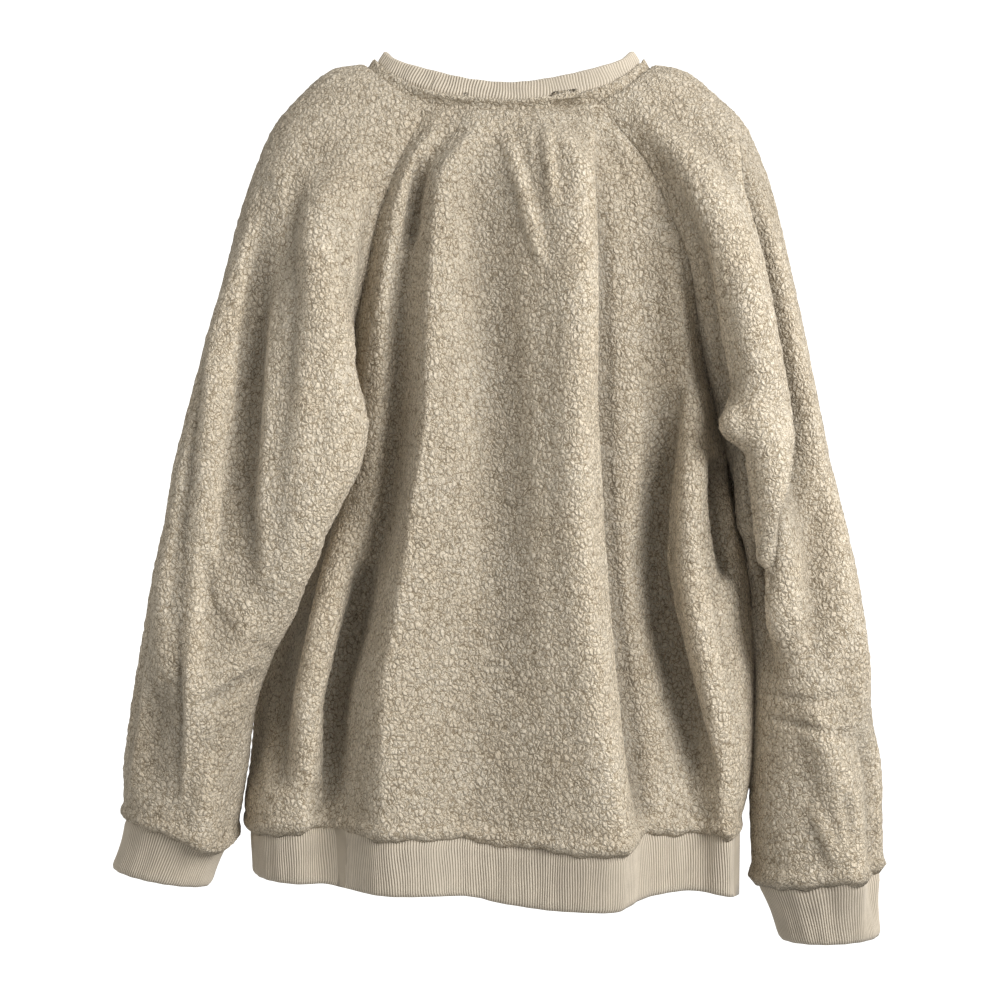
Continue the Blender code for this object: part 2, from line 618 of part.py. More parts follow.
MATERIALS = {
    "fleece": ((0.50, 0.43, 0.33, 1.0), 0.95),
    "rib": ((0.54, 0.47, 0.37, 1.0), 0.9)}


def add_object(name, points, faces, finish, collection):
    """Makes a closed piece from its points, in millimetres, and its faces."""
    mesh = bpy.data.meshes.new(name)
    mesh.from_pydata([tuple(p * MM) for p in points], [], faces)
    mesh.update()
    piece = bpy.data.objects.new(name, mesh)
    material = bpy.data.materials.new(name + "_" + finish)
    material.use_nodes = True
    shader = material.node_tree.nodes["Principled BSDF"]
    colour, roughness = MATERIALS[finish]
    shader.inputs["Base Color"].default_value = colour
    shader.inputs["Roughness"].default_value = roughness
    shader.inputs["Metallic"].default_value = 0.0
    mesh.materials.append(material)
    mesh.shade_smooth()
    mesh.set_sharp_from_angle(angle=math.radians(50))
    collection.objects.link(piece)
    return piece


def panel(name, outer, inner):
    """A fleece piece: an outer and an inner grid, closed round its edge."""
    rows, columns = outer.shape[:2]
    points = list(outer.reshape(-1, 3)) + list(inner.reshape(-1, 3))
    count = rows * columns
    faces = []
    for i in range(rows - 1):
        for j in range(columns - 1):
            corners = [i * columns + j, i * columns + j + 1, (i + 1) * columns + j + 1, (i + 1) * columns + j]
            if OUTWARD[name] < 0:
                corners.reverse()
            faces.append(corners)
            faces.append([c + count for c in reversed(corners)])
    edge = [j for j in range(columns)]
    edge += [i * columns + columns - 1 for i in range(1, rows)]
    edge += [(rows - 1) * columns + j for j in range(columns - 2, -1, -1)]
    edge += [i * columns for i in range(rows - 2, 0, -1)]
    for a, b in zip(edge, edge[1:] + edge[:1]):
        if a < b:
            rim = [[a, a + count, b + count], [a, b + count, b]]
        else:
            rim = [[a, a + count, b], [b, a + count, b + count]]
        if OUTWARD[name] < 0:
            rim = [corners[::-1] for corners in rim]
        faces.extend(rim)
    return points, faces


def welded(points, faces, apart=0.001):
    """Joins points that lie together and drops what that leaves empty."""
    key = {}
    place = []
    link = []
    for spot in points:
        mark = tuple(np.round(np.array(spot) / apart).astype(int))
        if mark not in key:
            key[mark] = len(place)
            place.append(spot)
        link.append(key[mark])
    kept = []
    for face in faces:
        corners = []
        for corner in face:
            if link[corner] not in corners:
                corners.append(link[corner])
        if len(corners) > 2:
            kept.append(corners)
    return place, kept


def sleeve(name, outer, inner):
    """A sleeve: split along its seam above the underarm, a closed tube below it."""
    rows, columns = outer.shape[:2]
    points, faces = panel(name, outer, inner)
    count = rows * columns
    keep = []
    for face in faces:
        spread = {c % count % columns for c in face}
        lower = min(c % count // columns for c in face) >= YOKE_ROWS
        on_seam = spread <= {0} or spread <= {columns - 1}
        if on_seam and lower:
            continue
        keep.append(face)
    return welded(points, keep)


def ribbed_band(rings, normals, per_column, outward):
    """A rib band: raised ribs outside over a plain inside, closed at both edges."""
    rows, columns = rings.shape[:2]
    fine = columns * per_column * 2
    outer = []
    inner = []
    for i in range(rows):
        for j in range(fine):
            a = j // (per_column * 2)
            share = j / (per_column * 2) - a
            b = (a + 1) % columns
            spot = rings[i, a] * (1 - share) + rings[i, b] * share
            out = normals[i, a] * (1 - share) + normals[i, b] * share
            out = out / np.linalg.norm(out)
            outer.append(spot + out * (RIB_RAISE * (j % 2) - BAND_INSET))
        for a in range(columns):
            inner.append(rings[i, a] - normals[i, a] * (BAND_INSET + RIB_WALL))
    count = rows * fine
    faces = []
    for i in range(rows - 1):
        for j in range(fine):
            k = (j + 1) % fine
            faces.append([i * fine + j, i * fine + k, (i + 1) * fine + k, (i + 1) * fine + j])
        for a in range(columns):
            b = (a + 1) % columns
            faces.append([count + i * columns + b, count + i * columns + a,
                          count + (i + 1) * columns + a, count + (i + 1) * columns + b])
    for i, upper in ((0, True), (rows - 1, False)):
        for a in range(columns):
            b = (a + 1) % columns
            half = a * per_column * 2 + per_column
            for step in range(per_column * 2):
                j = a * per_column * 2 + step
                k = (j + 1) % fine
                to = a if j < half else b
                rim = [i * fine + k, i * fine + j, count + i * columns + to]
                faces.append(rim if upper else rim[::-1])
            middle = [i * fine + half, count + i * columns + a, count + i * columns + b]
            faces.append(middle if upper else middle[::-1])
    if outward < 0:
        faces = [face[::-1] for face in faces]
    return outer + inner, faces


def make_hem_band(index, place, normal, collection):
    """The wide rib band at the bottom, whose folds die away toward its lower edge."""
    back, front = index["back"][-1], index["front"][-1]
    ids = closed_edge([back, front[::-1]])
    seam = place[ids]
    out = normal[ids].copy()
    out[:, 2] = 0
    out = out / np.linalg.norm(out, axis=1, keepdims=True)
    even = seam.copy()
    for _ in range(HEM_ROUNDING):
        even = (np.roll(even, 1, axis=0) + np.roll(even, -1, axis=0)) / 2
    edge = np.array([read(HEM_SEAM, "x", "edge_z", x) for x in seam[:, 0]])
    rings = []
    for share in (0.0, 0.5, 1.0):
        ring = seam.copy()
        keep = 1 - (1 - HEM_FOLDS_KEPT) * ease(share)
        ring[:, :2] = even[:, :2] + (seam[:, :2] - even[:, :2]) * keep
        ring[:, 2] = (seam[:, 2] - SEAM_GAP) * (1 - share) + edge * share
        rings.append(ring)
    rings = np.array(rings)
    points, faces = ribbed_band(rings, np.array([out] * len(rings)), HEM_RIBS, -1)
    add_object("hem_band", points, faces, "rib", collection)


def neck_directions(index, place):
    """The neck's seam, and the band's way up and way out at each of its points."""
    ids = closed_edge([index["back"][0], index["sleeve_right"][0], index["front"][0][::-1],
                       index["sleeve_left"][0][::-1]])
    seam = place[ids]
    along = np.roll(seam, -1, axis=0) - np.roll(seam, 1, axis=0)
    along /= np.linalg.norm(along, axis=1, keepdims=True)
    inward = -seam * (1, 1, 0)
    inward /= np.linalg.norm(inward, axis=1, keepdims=True)
    up = np.array([0, 0, 1.0]) + inward * NECK_BAND_LEAN
    up -= along * np.sum(up * along, axis=1, keepdims=True)
    up /= np.linalg.norm(up, axis=1, keepdims=True)
    out = np.cross(up, along)
    out *= np.sign(np.sum(out * -inward, axis=1, keepdims=True))
    return ids, up, out


def make_neckband(index, place, collection):
    """The collar: a narrow rib band that stands up and leans in to the neck."""
    ids, up, out = neck_directions(index, place)
    seam = place[ids]
    rings = []
    for share in (0.0, 0.5, 1.0):
        lift = SEAM_GAP + (NECK_BAND_WIDTH - SEAM_GAP) * share
        rings.append(seam + up * lift - out * NECK_BAND_CURL * share * share)
    rings = np.array(rings)[::-1]
    points, faces = ribbed_band(rings, np.array([out] * len(rings)), NECK_RIBS, -1)
    add_object("neckband", points, faces, "rib", collection)


def make_cuff(name, sleeve_name, index, place, collection):
    """A cuff: a rib band gathered onto the sleeve's end and narrower at the hand."""
    ids = index[sleeve_name][-1][:-1]
    seam = place[ids]
    middle = seam.mean(axis=0)
    way = middle - place[index[sleeve_name][-4][:-1]].mean(axis=0)
    way = way / np.linalg.norm(way)
    arms = LEFT_ARM if sleeve_name == "sleeve_left" else RIGHT_ARM
    start = arms["seam_turn"][-1]
    end = CUFF_ENDS[name]
    out = np.array([end["out_x"], end["middle_y"], end["out_z"]], dtype=float)
    inner = np.array([end["in_x"], end["middle_y"], end["in_z"]], dtype=float)
    end_ring = []
    for j in range(len(ids)):
        end_ring.append(ring_point((out + inner) / 2, (out - inner) / 2, end["half_depth"],
                                   start - 360 * j / len(ids), 0.0))
    end_ring = np.array(end_ring)
    rings = []
    for share in (0.0, 0.5, 1.0):
        ring = seam * (1 - share) + end_ring * share
        ring = ring + way * SEAM_GAP * (1 - share)
        pinch = middle + (end_ring.mean(axis=0) - middle) * share
        ring = pinch + (ring - pinch) * (1 - CUFF_WAIST * math.sin(math.pi * share))
        rings.append(ring)
    rings = np.array(rings)
    out_way = []
    for ring in rings:
        around = np.roll(ring, -1, axis=0) - np.roll(ring, 1, axis=0)
        flat = np.cross(around, way)
        flat *= np.sign(np.sum(flat * (ring - ring.mean(axis=0)), axis=1, keepdims=True))
        out_way.append(flat / np.linalg.norm(flat, axis=1, keepdims=True))
    outward = -1 if sleeve_name == "sleeve_right" else 1
    points, faces = ribbed_band(rings, np.array(out_way), CUFF_RIBS, outward)
    add_object(name, points, faces, "rib", collection)


def wall_at(name, shape):
    """The fleece's thickness at each point of a piece: pressed thinner where the seams meet."""
    wall = np.full(shape + (1,), FLEECE_WALL)
    wall[YOKE_ROWS, [0, -1]] = UNDERARM_WALL
    if name.startswith("sleeve"):
        return wall
    wall[YOKE_ROWS + 1, [0, -1]] = (UNDERARM_WALL + FLEECE_WALL) / 2
    return wall


def main():
    for item in list(bpy.data.objects):
        bpy.data.objects.remove(item, do_unlink=True)
    collection = bpy.data.collections.new("sherpa_fleece_pullover")
    bpy.context.scene.collection.children.link(collection)
    index, place = soften(build_net())
    normal = net_normals(index, place)
    for name, ids in index.items():
        move = seam_gaps(name, place[ids], normal[ids])
        outer = place[ids] + move
        inner = outer - normal[ids] * wall_at(name, ids.shape)
        shape = sleeve if name.startswith("sleeve") else panel
        points, faces = shape(name, outer, inner)
        add_object(name, points, faces, "fleece", collection)
    make_hem_band(index, place, normal, collection)
    make_neckband(index, place, collection)
    make_cuff("cuff_left", "sleeve_left", index, place, collection)
    make_cuff("cuff_right", "sleeve_right", index, place, collection)


main()
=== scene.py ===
"""A hollow sherpa fleece pullover with raglan sleeves and rib bands, hanging open."""
import math

import bmesh
import bpy
import numpy as np
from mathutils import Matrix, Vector


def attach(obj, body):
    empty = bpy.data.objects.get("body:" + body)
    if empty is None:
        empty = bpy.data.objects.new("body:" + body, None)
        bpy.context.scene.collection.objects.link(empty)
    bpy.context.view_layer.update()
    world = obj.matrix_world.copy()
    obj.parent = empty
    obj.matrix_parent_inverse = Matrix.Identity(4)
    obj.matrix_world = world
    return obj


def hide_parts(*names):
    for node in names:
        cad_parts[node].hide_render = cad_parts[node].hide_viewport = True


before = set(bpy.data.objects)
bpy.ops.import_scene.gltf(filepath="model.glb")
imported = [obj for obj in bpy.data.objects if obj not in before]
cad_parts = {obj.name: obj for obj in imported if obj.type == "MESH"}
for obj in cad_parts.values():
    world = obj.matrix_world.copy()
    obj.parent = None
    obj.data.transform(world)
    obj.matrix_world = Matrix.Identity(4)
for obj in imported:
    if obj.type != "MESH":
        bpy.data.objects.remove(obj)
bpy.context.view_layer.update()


# The two raglan sleeves as they hang. Each is one piece of sherpa fleece from the neck to the cuff,
# sewn to the back and the front by two slanting seams and closed by one seam under the arm. They
# are rings of points in millimetres, coarser than the cloth that is made from them later.


def table(columns, rows):
    """A short table: a dictionary that gives each named column as an array."""
    values = np.array(rows, dtype=float)
    return {name: values[:, i] for i, name in enumerate(columns)}


def read(rows, key, column, at):
    """The column's value at a place between the table's rows, on a curve with no overshoot."""
    x = rows[key]
    y = rows[column]
    if x[0] > x[-1]:
        x = x[::-1]
        y = y[::-1]
    step = np.diff(x)
    rise = np.diff(y) / step
    slope = np.empty(len(x))
    slope[0] = rise[0]
    slope[-1] = rise[-1]
    for i in range(1, len(x) - 1):
        same_way = rise[i - 1] * rise[i] > 0
        slope[i] = 2 * rise[i - 1] * rise[i] / (rise[i - 1] + rise[i]) if same_way else 0.0
    at = min(max(at, x[0]), x[-1])
    i = min(max(int(np.searchsorted(x, at)) - 1, 0), len(x) - 2)
    t = (at - x[i]) / step[i]
    start = y[i] * (1 + 2 * t) * (1 - t) ** 2 + slope[i] * step[i] * t * (1 - t) ** 2
    end = y[i + 1] * (3 - 2 * t) * t * t + slope[i + 1] * step[i] * t * t * (t - 1)
    return start + end


def ease(t):
    """Goes smoothly from 0 to 1."""
    t = min(max(t, 0.0), 1.0)
    return t * t * (3 - 2 * t)


# Rings of the two sleeves. u is 0 at the neck, 1 at the underarm and 2 at the cuff's seam.
# out is the ring's outer point, back and front are where the raglan seams cross it, and the
# turns are the angles from out to those seams. Below the underarm both turns end at the
# sleeve's own seam, and back stands for the ring's innermost point.
RING = ("u", "out_x", "out_z", "back_x", "back_z", "front_x", "front_z",
        "back_turn", "front_turn", "middle_y", "half_depth")
LEFT_RINGS = table(RING, [
    (0.00, 106, 0, 63, -31, 84, -57, 90, 90, 0, 29),
    (0.15, 138, -6, 74, -61, 87, -76, 105, 97, 2, 32),
    (0.30, 168, -31, 85, -85, 95, -99, 120, 103, 5, 39),
    (0.42, 188, -57, 93, -106, 103, -123, 132, 108, 8, 45),
    (0.55, 205, -102, 103, -135, 111, -152, 147, 113, 14, 51),
    (0.70, 221, -159, 112, -176, 120, -192, 164, 124, 22, 54),
    (0.85, 241, -239, 126, -232, 131, -246, 184, 140, 30, 54),
    (1.00, 263, -326, 140, -311, 140, -311, 202, 158, 38, 54)])
RIGHT_RINGS = table(RING, [
    (0.00, -106, 0, -70, -27, -88, -51, 90, 90, 0, 28),
    (0.15, -137, -7, -83, -55, -93, -73, 105, 103, 1, 32),
    (0.30, -169, -32, -102, -80, -105, -97, 118, 114, 2, 39),
    (0.42, -187, -51, -113, -98, -115, -121, 128, 125, 3, 45),
    (0.55, -202, -82, -125, -127, -126, -149, 140, 138, 4, 52),
    (0.70, -215, -131, -139, -162, -139, -187, 152, 151, 5, 58),
    (0.85, -230, -206, -151, -225, -153, -243, 166, 165, 5, 62),
    (1.00, -251, -322, -174, -316, -174, -316, 180, 180, 5, 64)])

# Below the underarm: outer and inner edge of each ring, and the turn of the sleeve's seam.
ARM = ("u", "out_x", "out_z", "in_x", "in_z", "seam_turn", "middle_y", "half_depth")
LEFT_ARM = table(ARM, [
    (1.00, 263, -326, 134, -310, 202, 38, 54),
    (1.15, 270, -370, 141, -352, 204, 45, 51),
    (1.30, 278, -409, 154, -396, 206, 48, 47),
    (1.45, 285, -451, 167, -436, 206, 46, 46),
    (1.60, 292, -491, 185, -474, 206, 42, 48),
    (1.75, 299, -530, 199, -514, 202, 34, 49),
    (1.88, 304, -567, 206, -560, 198, 24, 47),
    (2.00, 303, -597, 216, -614, 195, 16, 43)])
RIGHT_ARM = table(ARM, [
    (1.00, -251, -322, -174, -316, 180, 5, 64),
    (1.15, -260, -368, -184, -360, 180, 13, 63),
    (1.30, -268, -411, -188, -402, 178, 20, 60),
    (1.45, -274, -452, -191, -446, 176, 24, 56),
    (1.60, -280, -487, -194, -487, 174, 24, 53),
    (1.75, -286, -527, -192, -537, 172, 20, 51),
    (1.88, -294, -566, -191, -585, 170, 15, 49),
    (2.00, -296, -641, -194, -651, 170, 9, 46)])

# Folds of the sleeves: each row gives a place along the sleeve, the fold's turn round the ring
# from its outer point (over the back when positive), its height (a trough when negative) and
# how far it reaches to its outer and inner side.
FOLD = ("u", "turn", "height", "reach_out", "reach_in")
LEFT_FOLDS = {
    "broad inner roll": table(FOLD, [
        (0.30, 104, 0, 30, 24), (0.55, 118, 10, 36, 26), (0.70, 128, 16, 40, 26),
        (0.85, 138, 20, 42, 26), (1.00, 142, 22, 44, 28), (1.15, 146, 18, 44, 28),
        (1.30, 148, 10, 40, 28), (1.45, 140, 0, 34, 28)]),
    "long trough": table(FOLD, [
        (0.35, 80, 0, 20, 20), (0.55, 76, -8, 24, 24), (0.85, 74, -15, 28, 28),
        (1.00, 76, -18, 30, 30), (1.30, 86, -16, 30, 30), (1.50, 100, -8, 28, 28),
        (1.62, 112, 0, 26, 26)]),
    "middle ridge": table(FOLD, [
        (0.60, 46, 0, 24, 24), (0.85, 42, 8, 24, 24), (1.15, 48, 13, 24, 26),
        (1.35, 54, 14, 24, 28), (1.50, 66, 12, 28, 28), (1.64, 84, 8, 30, 30),
        (1.80, 110, 0, 30, 30)]),
    "outer trough": table(FOLD, [
        (0.65, 16, 0, 20, 20), (0.85, 14, -6, 20, 20), (1.30, 16, -9, 22, 22),
        (1.75, 20, -9, 22, 22), (1.95, 22, 0, 20, 20)]),
    "elbow trough": table(FOLD, [
        (1.60, 60, 0, 24, 24), (1.72, 62, -8, 26, 26), (1.84, 66, -8, 26, 26),
        (1.96, 70, 0, 24, 24)]),
    "front ridge": table(FOLD, [
        (0.35, -62, 0, 30, 30), (0.70, -60, 10, 30, 30), (1.20, -56, 14, 32, 32),
        (1.60, -66, 10, 30, 30), (1.85, -70, 0, 28, 28)]),
    "front trough": table(FOLD, [
        (0.60, -92, 0, 24, 24), (1.00, -96, -9, 26, 26), (1.45, -104, -10, 26, 26),
        (1.80, -110, 0, 24, 24)])}
RIGHT_FOLDS = {
    "high back ridge": table(FOLD, [
        (0.12, 92, 0, 22, 26), (0.30, 98, 10, 20, 30), (0.55, 100, 15, 20, 32),
        (0.85, 104, 19, 20, 34), (1.05, 110, 21, 20, 34), (1.25, 118, 18, 22, 32),
        (1.42, 132, 12, 24, 28), (1.55, 148, 0, 24, 24)]),
    "seam trough": table(FOLD, [
        (0.30, 118, 0, 18, 18), (0.60, 130, -6, 20, 20), (0.85, 142, -9, 22, 22),
        (1.02, 152, -8, 22, 22), (1.15, 158, 0, 20, 20)]),
    "outer trough": table(FOLD, [
        (0.45, 70, 0, 20, 20), (0.85, 66, -11, 24, 24), (1.15, 70, -13, 26, 26),
        (1.40, 84, -11, 24, 24), (1.60, 96, 0, 22, 22)]),
    "outer ridge": table(FOLD, [
        (0.70, 32, 0, 24, 24), (1.05, 30, 5, 24, 24), (1.50, 36, 8, 24, 24),
        (1.75, 40, 0, 24, 24)]),
    "cuff ridge": table(FOLD, [
        (1.62, 96, 0, 20, 20), (1.80, 84, 9, 20, 22), (2.00, 66, 9, 20, 22)]),
    "cuff trough": table(FOLD, [
        (1.72, 48, 0, 18, 18), (1.85, 38, -10, 20, 18), (2.00, 34, -7, 20, 18)]),
    "underarm trough": table(FOLD, [
        (1.05, 160, 0, 20, 20), (1.25, 152, -14, 22, 22), (1.45, 156, -11, 24, 24),
        (1.65, 150, 0, 22, 22)]),
    "front ridge": table(FOLD, [
        (0.30, -72, 0, 30, 30), (0.75, -70, 11, 30, 30), (1.25, -66, 14, 32, 32),
        (1.65, -72, 9, 30, 30), (1.90, -70, 0, 28, 28)]),
    "front trough": table(FOLD, [
        (0.60, -112, 0, 24, 24), (1.00, -118, -9, 26, 26), (1.50, -110, -9, 26, 26),
        (1.85, -106, 0, 24, 24)])}

# The neck opening, at the seam where the neckband meets the fleece
NECK_HALF_WIDTH = 106.0
NECK_BACK_DEPTH = 36.0
NECK_FRONT_DEPTH = 52.0
NECK_SIDE_HEIGHT = -1.0
NECK_BACK_DROP = 42.0
NECK_FRONT_DROP = 118.0
NECK_PEAK_ROUND = 0.14


def neck_seam(turn):
    """A point of the neck's seam. The turn is 0 at the back's middle and 90 at the left side."""
    angle = math.radians(turn)
    across = math.sin(angle)
    along = math.cos(angle)
    fall = math.hypot(along, NECK_PEAK_ROUND) - NECK_PEAK_ROUND
    if along > 0:
        return np.array([NECK_HALF_WIDTH * across, NECK_BACK_DEPTH * along,
                         NECK_SIDE_HEIGHT - NECK_BACK_DROP * fall])
    return np.array([NECK_HALF_WIDTH * across, NECK_FRONT_DEPTH * along,
                     NECK_SIDE_HEIGHT - NECK_FRONT_DROP * fall])


def neck_turn(x, on_back):
    """The turn of the neck's seam at a width, on the back or on the front."""
    turn = math.degrees(math.asin(max(-1.0, min(1.0, x / NECK_HALF_WIDTH))))
    if on_back:
        return turn
    return (180 if x >= 0 else -180) - turn


def fold_push(folds, u, turn, radius):
    """How far all of a sleeve's folds push its cloth out at one place."""
    push = 0.0
    for fold in folds.values():
        if not fold["u"][0] < u <= fold["u"][-1]:
            continue
        height = read(fold, "u", "height", u)
        away = turn - read(fold, "u", "turn", u)
        distance = math.radians(away) * radius
        inward = distance * math.copysign(1, read(fold, "u", "turn", u)) > 0
        reach = read(fold, "u", "reach_in" if inward else "reach_out", u)
        if abs(distance) < reach:
            push += height * (1 - (distance / reach) ** 2) ** 2
    return push


def ring_point(centre, arm, depth, turn, push):
    """A point on a sleeve's ring, pushed out square to the ring."""
    angle = math.radians(turn)
    across = np.array([arm[0] * math.cos(angle), depth * math.sin(angle), arm[2] * math.cos(angle)])
    width = math.hypot(arm[0], arm[2])
    unit = arm / width
    out = unit * math.cos(angle) / width + np.array([0, math.sin(angle) / depth, 0])
    out = out / np.linalg.norm(out)
    return centre + across + out * push


# Share of a ring beside a seam in which its folds die away, the share of the way down to the
# underarm in which a ring's own form takes over from the neck's, and where all folds are free
SEAM_CALM = 0.12
SLEEVE_NECK_BLEND = 0.16
FOLDS_FREE = 1.2


def shoulder_ring(rings, folds, u, columns):
    """One row of a sleeve above the underarm, from the back raglan seam to the front one."""
    value = {name: read(rings, "u", name, u) for name in RING[1:]}
    out = np.array([value["out_x"], 0, value["out_z"]])
    row = []
    for j in range(columns + 1):
        share = j / columns
        turn = value["back_turn"] * (1 - share) - value["front_turn"] * share
        side = "back" if turn >= 0 else "front"
        seam = np.array([value[side + "_x"], 0, value[side + "_z"]])
        arm = (out - seam) / (1 - math.cos(math.radians(value[side + "_turn"])))
        centre = out - arm + np.array([0, value["middle_y"], 0])
        radius = (np.linalg.norm(arm) + value["half_depth"]) / 2
        push = fold_push(folds, u, turn, radius)
        push *= ease(min(share, 1 - share) / SEAM_CALM)
        row.append(ring_point(centre, arm, value["half_depth"], turn, push))
    start = neck_turn(rings["back_x"][0], True)
    end = neck_turn(rings["front_x"][0], False)
    settle = ease(u / SLEEVE_NECK_BLEND)
    on_neck = [neck_seam(start + (end - start) * j / columns) for j in range(columns + 1)]
    return [a * (1 - settle) + b * settle for a, b in zip(on_neck, row)]


def arm_ring(rings, folds, u, columns):
    """One row of a sleeve below the underarm, once round from its seam to its seam."""
    value = {name: read(rings, "u", name, u) for name in ARM[1:]}
    out = np.array([value["out_x"], value["middle_y"], value["out_z"]])
    inner = np.array([value["in_x"], value["middle_y"], value["in_z"]])
    arm = (out - inner) / 2
    centre = (out + inner) / 2
    radius = (np.linalg.norm(arm) + value["half_depth"]) / 2
    row = []
    for j in range(columns):
        turn = value["seam_turn"] - 360 * j / columns
        bent = turn if turn <= 180 else turn - 360
        push = fold_push(folds, u, turn if turn > -180 else turn + 360, radius)
        if u < FOLDS_FREE:
            push *= ease(min(j, columns - j) / columns / SEAM_CALM)
        row.append(ring_point(centre, arm, value["half_depth"], bent, push))
    row.append(row[0].copy())
    return row


# The back and the front as they hang: two broad panels of sherpa fleece from the neck to the hem,
# with long folds that fall from the neck's seam. Each line of a fold is the crest of a ridge or
# the bottom of a trough: where it lies and how far it stands out at several heights.
LINE = ("z", "x", "y")

# Long folds of the back, from the left side to the right, and the net's columns between them
BACK_LINES = {
    "left ridge": table(LINE, [
        (-40, 62, 32), (-60, 69, 42), (-120, 85, 56), (-200, 97, 58), (-280, 101, 50),
        (-350, 109, 45), (-430, 134, 54), (-510, 155, 58), (-600, 159, 60)]),
    "left trough": table(LINE, [
        (-40, 56, 32), (-60, 60, 38), (-120, 73, 45), (-200, 84, 44), (-280, 89, 38),
        (-350, 95, 33), (-430, 116, 32), (-510, 136, 34), (-600, 143, 44)]),
    "left roll": table(LINE, [
        (-40, 40, 36), (-60, 42, 49), (-120, 54, 66), (-200, 59, 80), (-280, 61, 86),
        (-350, 71, 88), (-430, 82, 89), (-510, 93, 89), (-600, 92, 86)]),
    "middle hollow": table(LINE, [
        (-40, 22, 37), (-60, 25, 42), (-120, 24, 53), (-200, 18, 61), (-280, 12, 66),
        (-350, 12, 68), (-430, 18, 68), (-510, 22, 67), (-600, 20, 70)]),
    "right roll": table(LINE, [
        (-40, -52, 36), (-60, -55, 50), (-120, -55, 70), (-200, -55, 84), (-280, -52, 89),
        (-350, -52, 90), (-430, -58, 90), (-510, -68, 91), (-600, -84, 94)]),
    "roll foot": table(LINE, [
        (-40, -60, 33), (-60, -68, 41), (-120, -76, 50), (-200, -78, 52), (-280, -77, 48),
        (-350, -79, 45), (-430, -86, 44), (-510, -96, 46), (-600, -108, 56)]),
    "right trough": table(LINE, [
        (-40, -64, 31), (-60, -74, 36), (-120, -96, 42), (-200, -108, 39), (-280, -118, 31),
        (-350, -118, 27), (-430, -120, 26), (-510, -135, 30), (-600, -149, 42)]),
    "right ridge": table(LINE, [
        (-40, -68, 29), (-60, -82, 36), (-120, -107, 41), (-200, -127, 40), (-280, -141, 44),
        (-350, -143, 58), (-430, -144, 62), (-510, -158, 60), (-600, -167, 56)])}
BACK_COLUMNS = (12, 6, 12, 12, 12, 6, 9, 9, 12)

# Long folds of the front, of the same kind
FRONT_LINES = {
    "left ridge": table(LINE, [
        (-60, 76, 36), (-130, 90, 42), (-200, 100, 50), (-280, 108, 54), (-350, 104, 56),
        (-430, 118, 58), (-510, 140, 58), (-600, 150, 54)]),
    "left trough": table(LINE, [
        (-60, 68, 38), (-130, 72, 40), (-200, 78, 42), (-280, 82, 40), (-350, 80, 38),
        (-430, 90, 38), (-510, 106, 40), (-600, 112, 44)]),
    "left roll": table(LINE, [
        (-60, 50, 44), (-130, 44, 56), (-200, 42, 68), (-280, 44, 76), (-350, 48, 78),
        (-430, 54, 80), (-510, 62, 78), (-600, 64, 74)]),
    "middle hollow": table(LINE, [
        (-60, 0, 48), (-130, -2, 55), (-200, -6, 58), (-280, -8, 60), (-350, -6, 60),
        (-430, 2, 58), (-510, 8, 58), (-600, 10, 62)]),
    "right roll": table(LINE, [
        (-60, -54, 44), (-130, -54, 56), (-200, -56, 68), (-280, -58, 74), (-350, -56, 76),
        (-430, -52, 76), (-510, -48, 76), (-600, -46, 72)]),
    "right trough": table(LINE, [
        (-60, -72, 38), (-130, -82, 42), (-200, -94, 42), (-280, -98, 40), (-350, -96, 36),
        (-430, -94, 36), (-510, -92, 38), (-600, -90, 46)]),
    "right ridge": table(LINE, [
        (-60, -80, 34), (-130, -106, 42), (-200, -126, 50), (-280, -138, 54), (-350, -136, 56),
        (-430, -134, 60), (-510, -138, 58), (-600, -144, 54)])}
FRONT_COLUMNS = (12, 6, 9, 9, 9, 9, 6, 12)

# Sides of the body below the underarm, and the height of the hem's seam and of the hem's edge
SIDE = ("z", "left_x", "left_y", "left_round", "right_x", "right_y", "right_round")
SIDES = table(SIDE, [
    (-311, 140, 18, 0.2, -174, 5, 0.3), (-338, 138, 15, 0.1, -176, 3, 0.3),
    (-362, 145, 1, 0.1, -186, -20, 0.6), (-390, 160, -8, 0, -197, -38, 0.9),
    (-430, 176, -14, 0, -202, -42, 1), (-470, 194, -15, 0, -204, -40, 1),
    (-510, 206, -13, 0.1, -203, -34, 1), (-560, 208, -6, 0.6, -197, -20, 1),
    (-592, 211, -2, 1, -187, -5, 1), (-612, 207, 0, 1, -180, 0, 1)])
HEM_SEAM = table(("x", "z", "edge_z"), [
    (-181, -610, -660), (-165, -608, -657), (-138, -607, -654), (-108, -605, -656),
    (-84, -616, -662), (-38, -614, -662), (7, -611, -658), (40, -606, -652),
    (92, -605, -651), (128, -602, -649), (160, -603, -647), (200, -608, -646)])

# Steps in which a stretch of a row is measured, the least step between two columns as a share of
# an even one, and the least distance between two folds
FINE_STEPS = 20
LEAST_STEP = 0.55
FOLDS_APART = 6.0


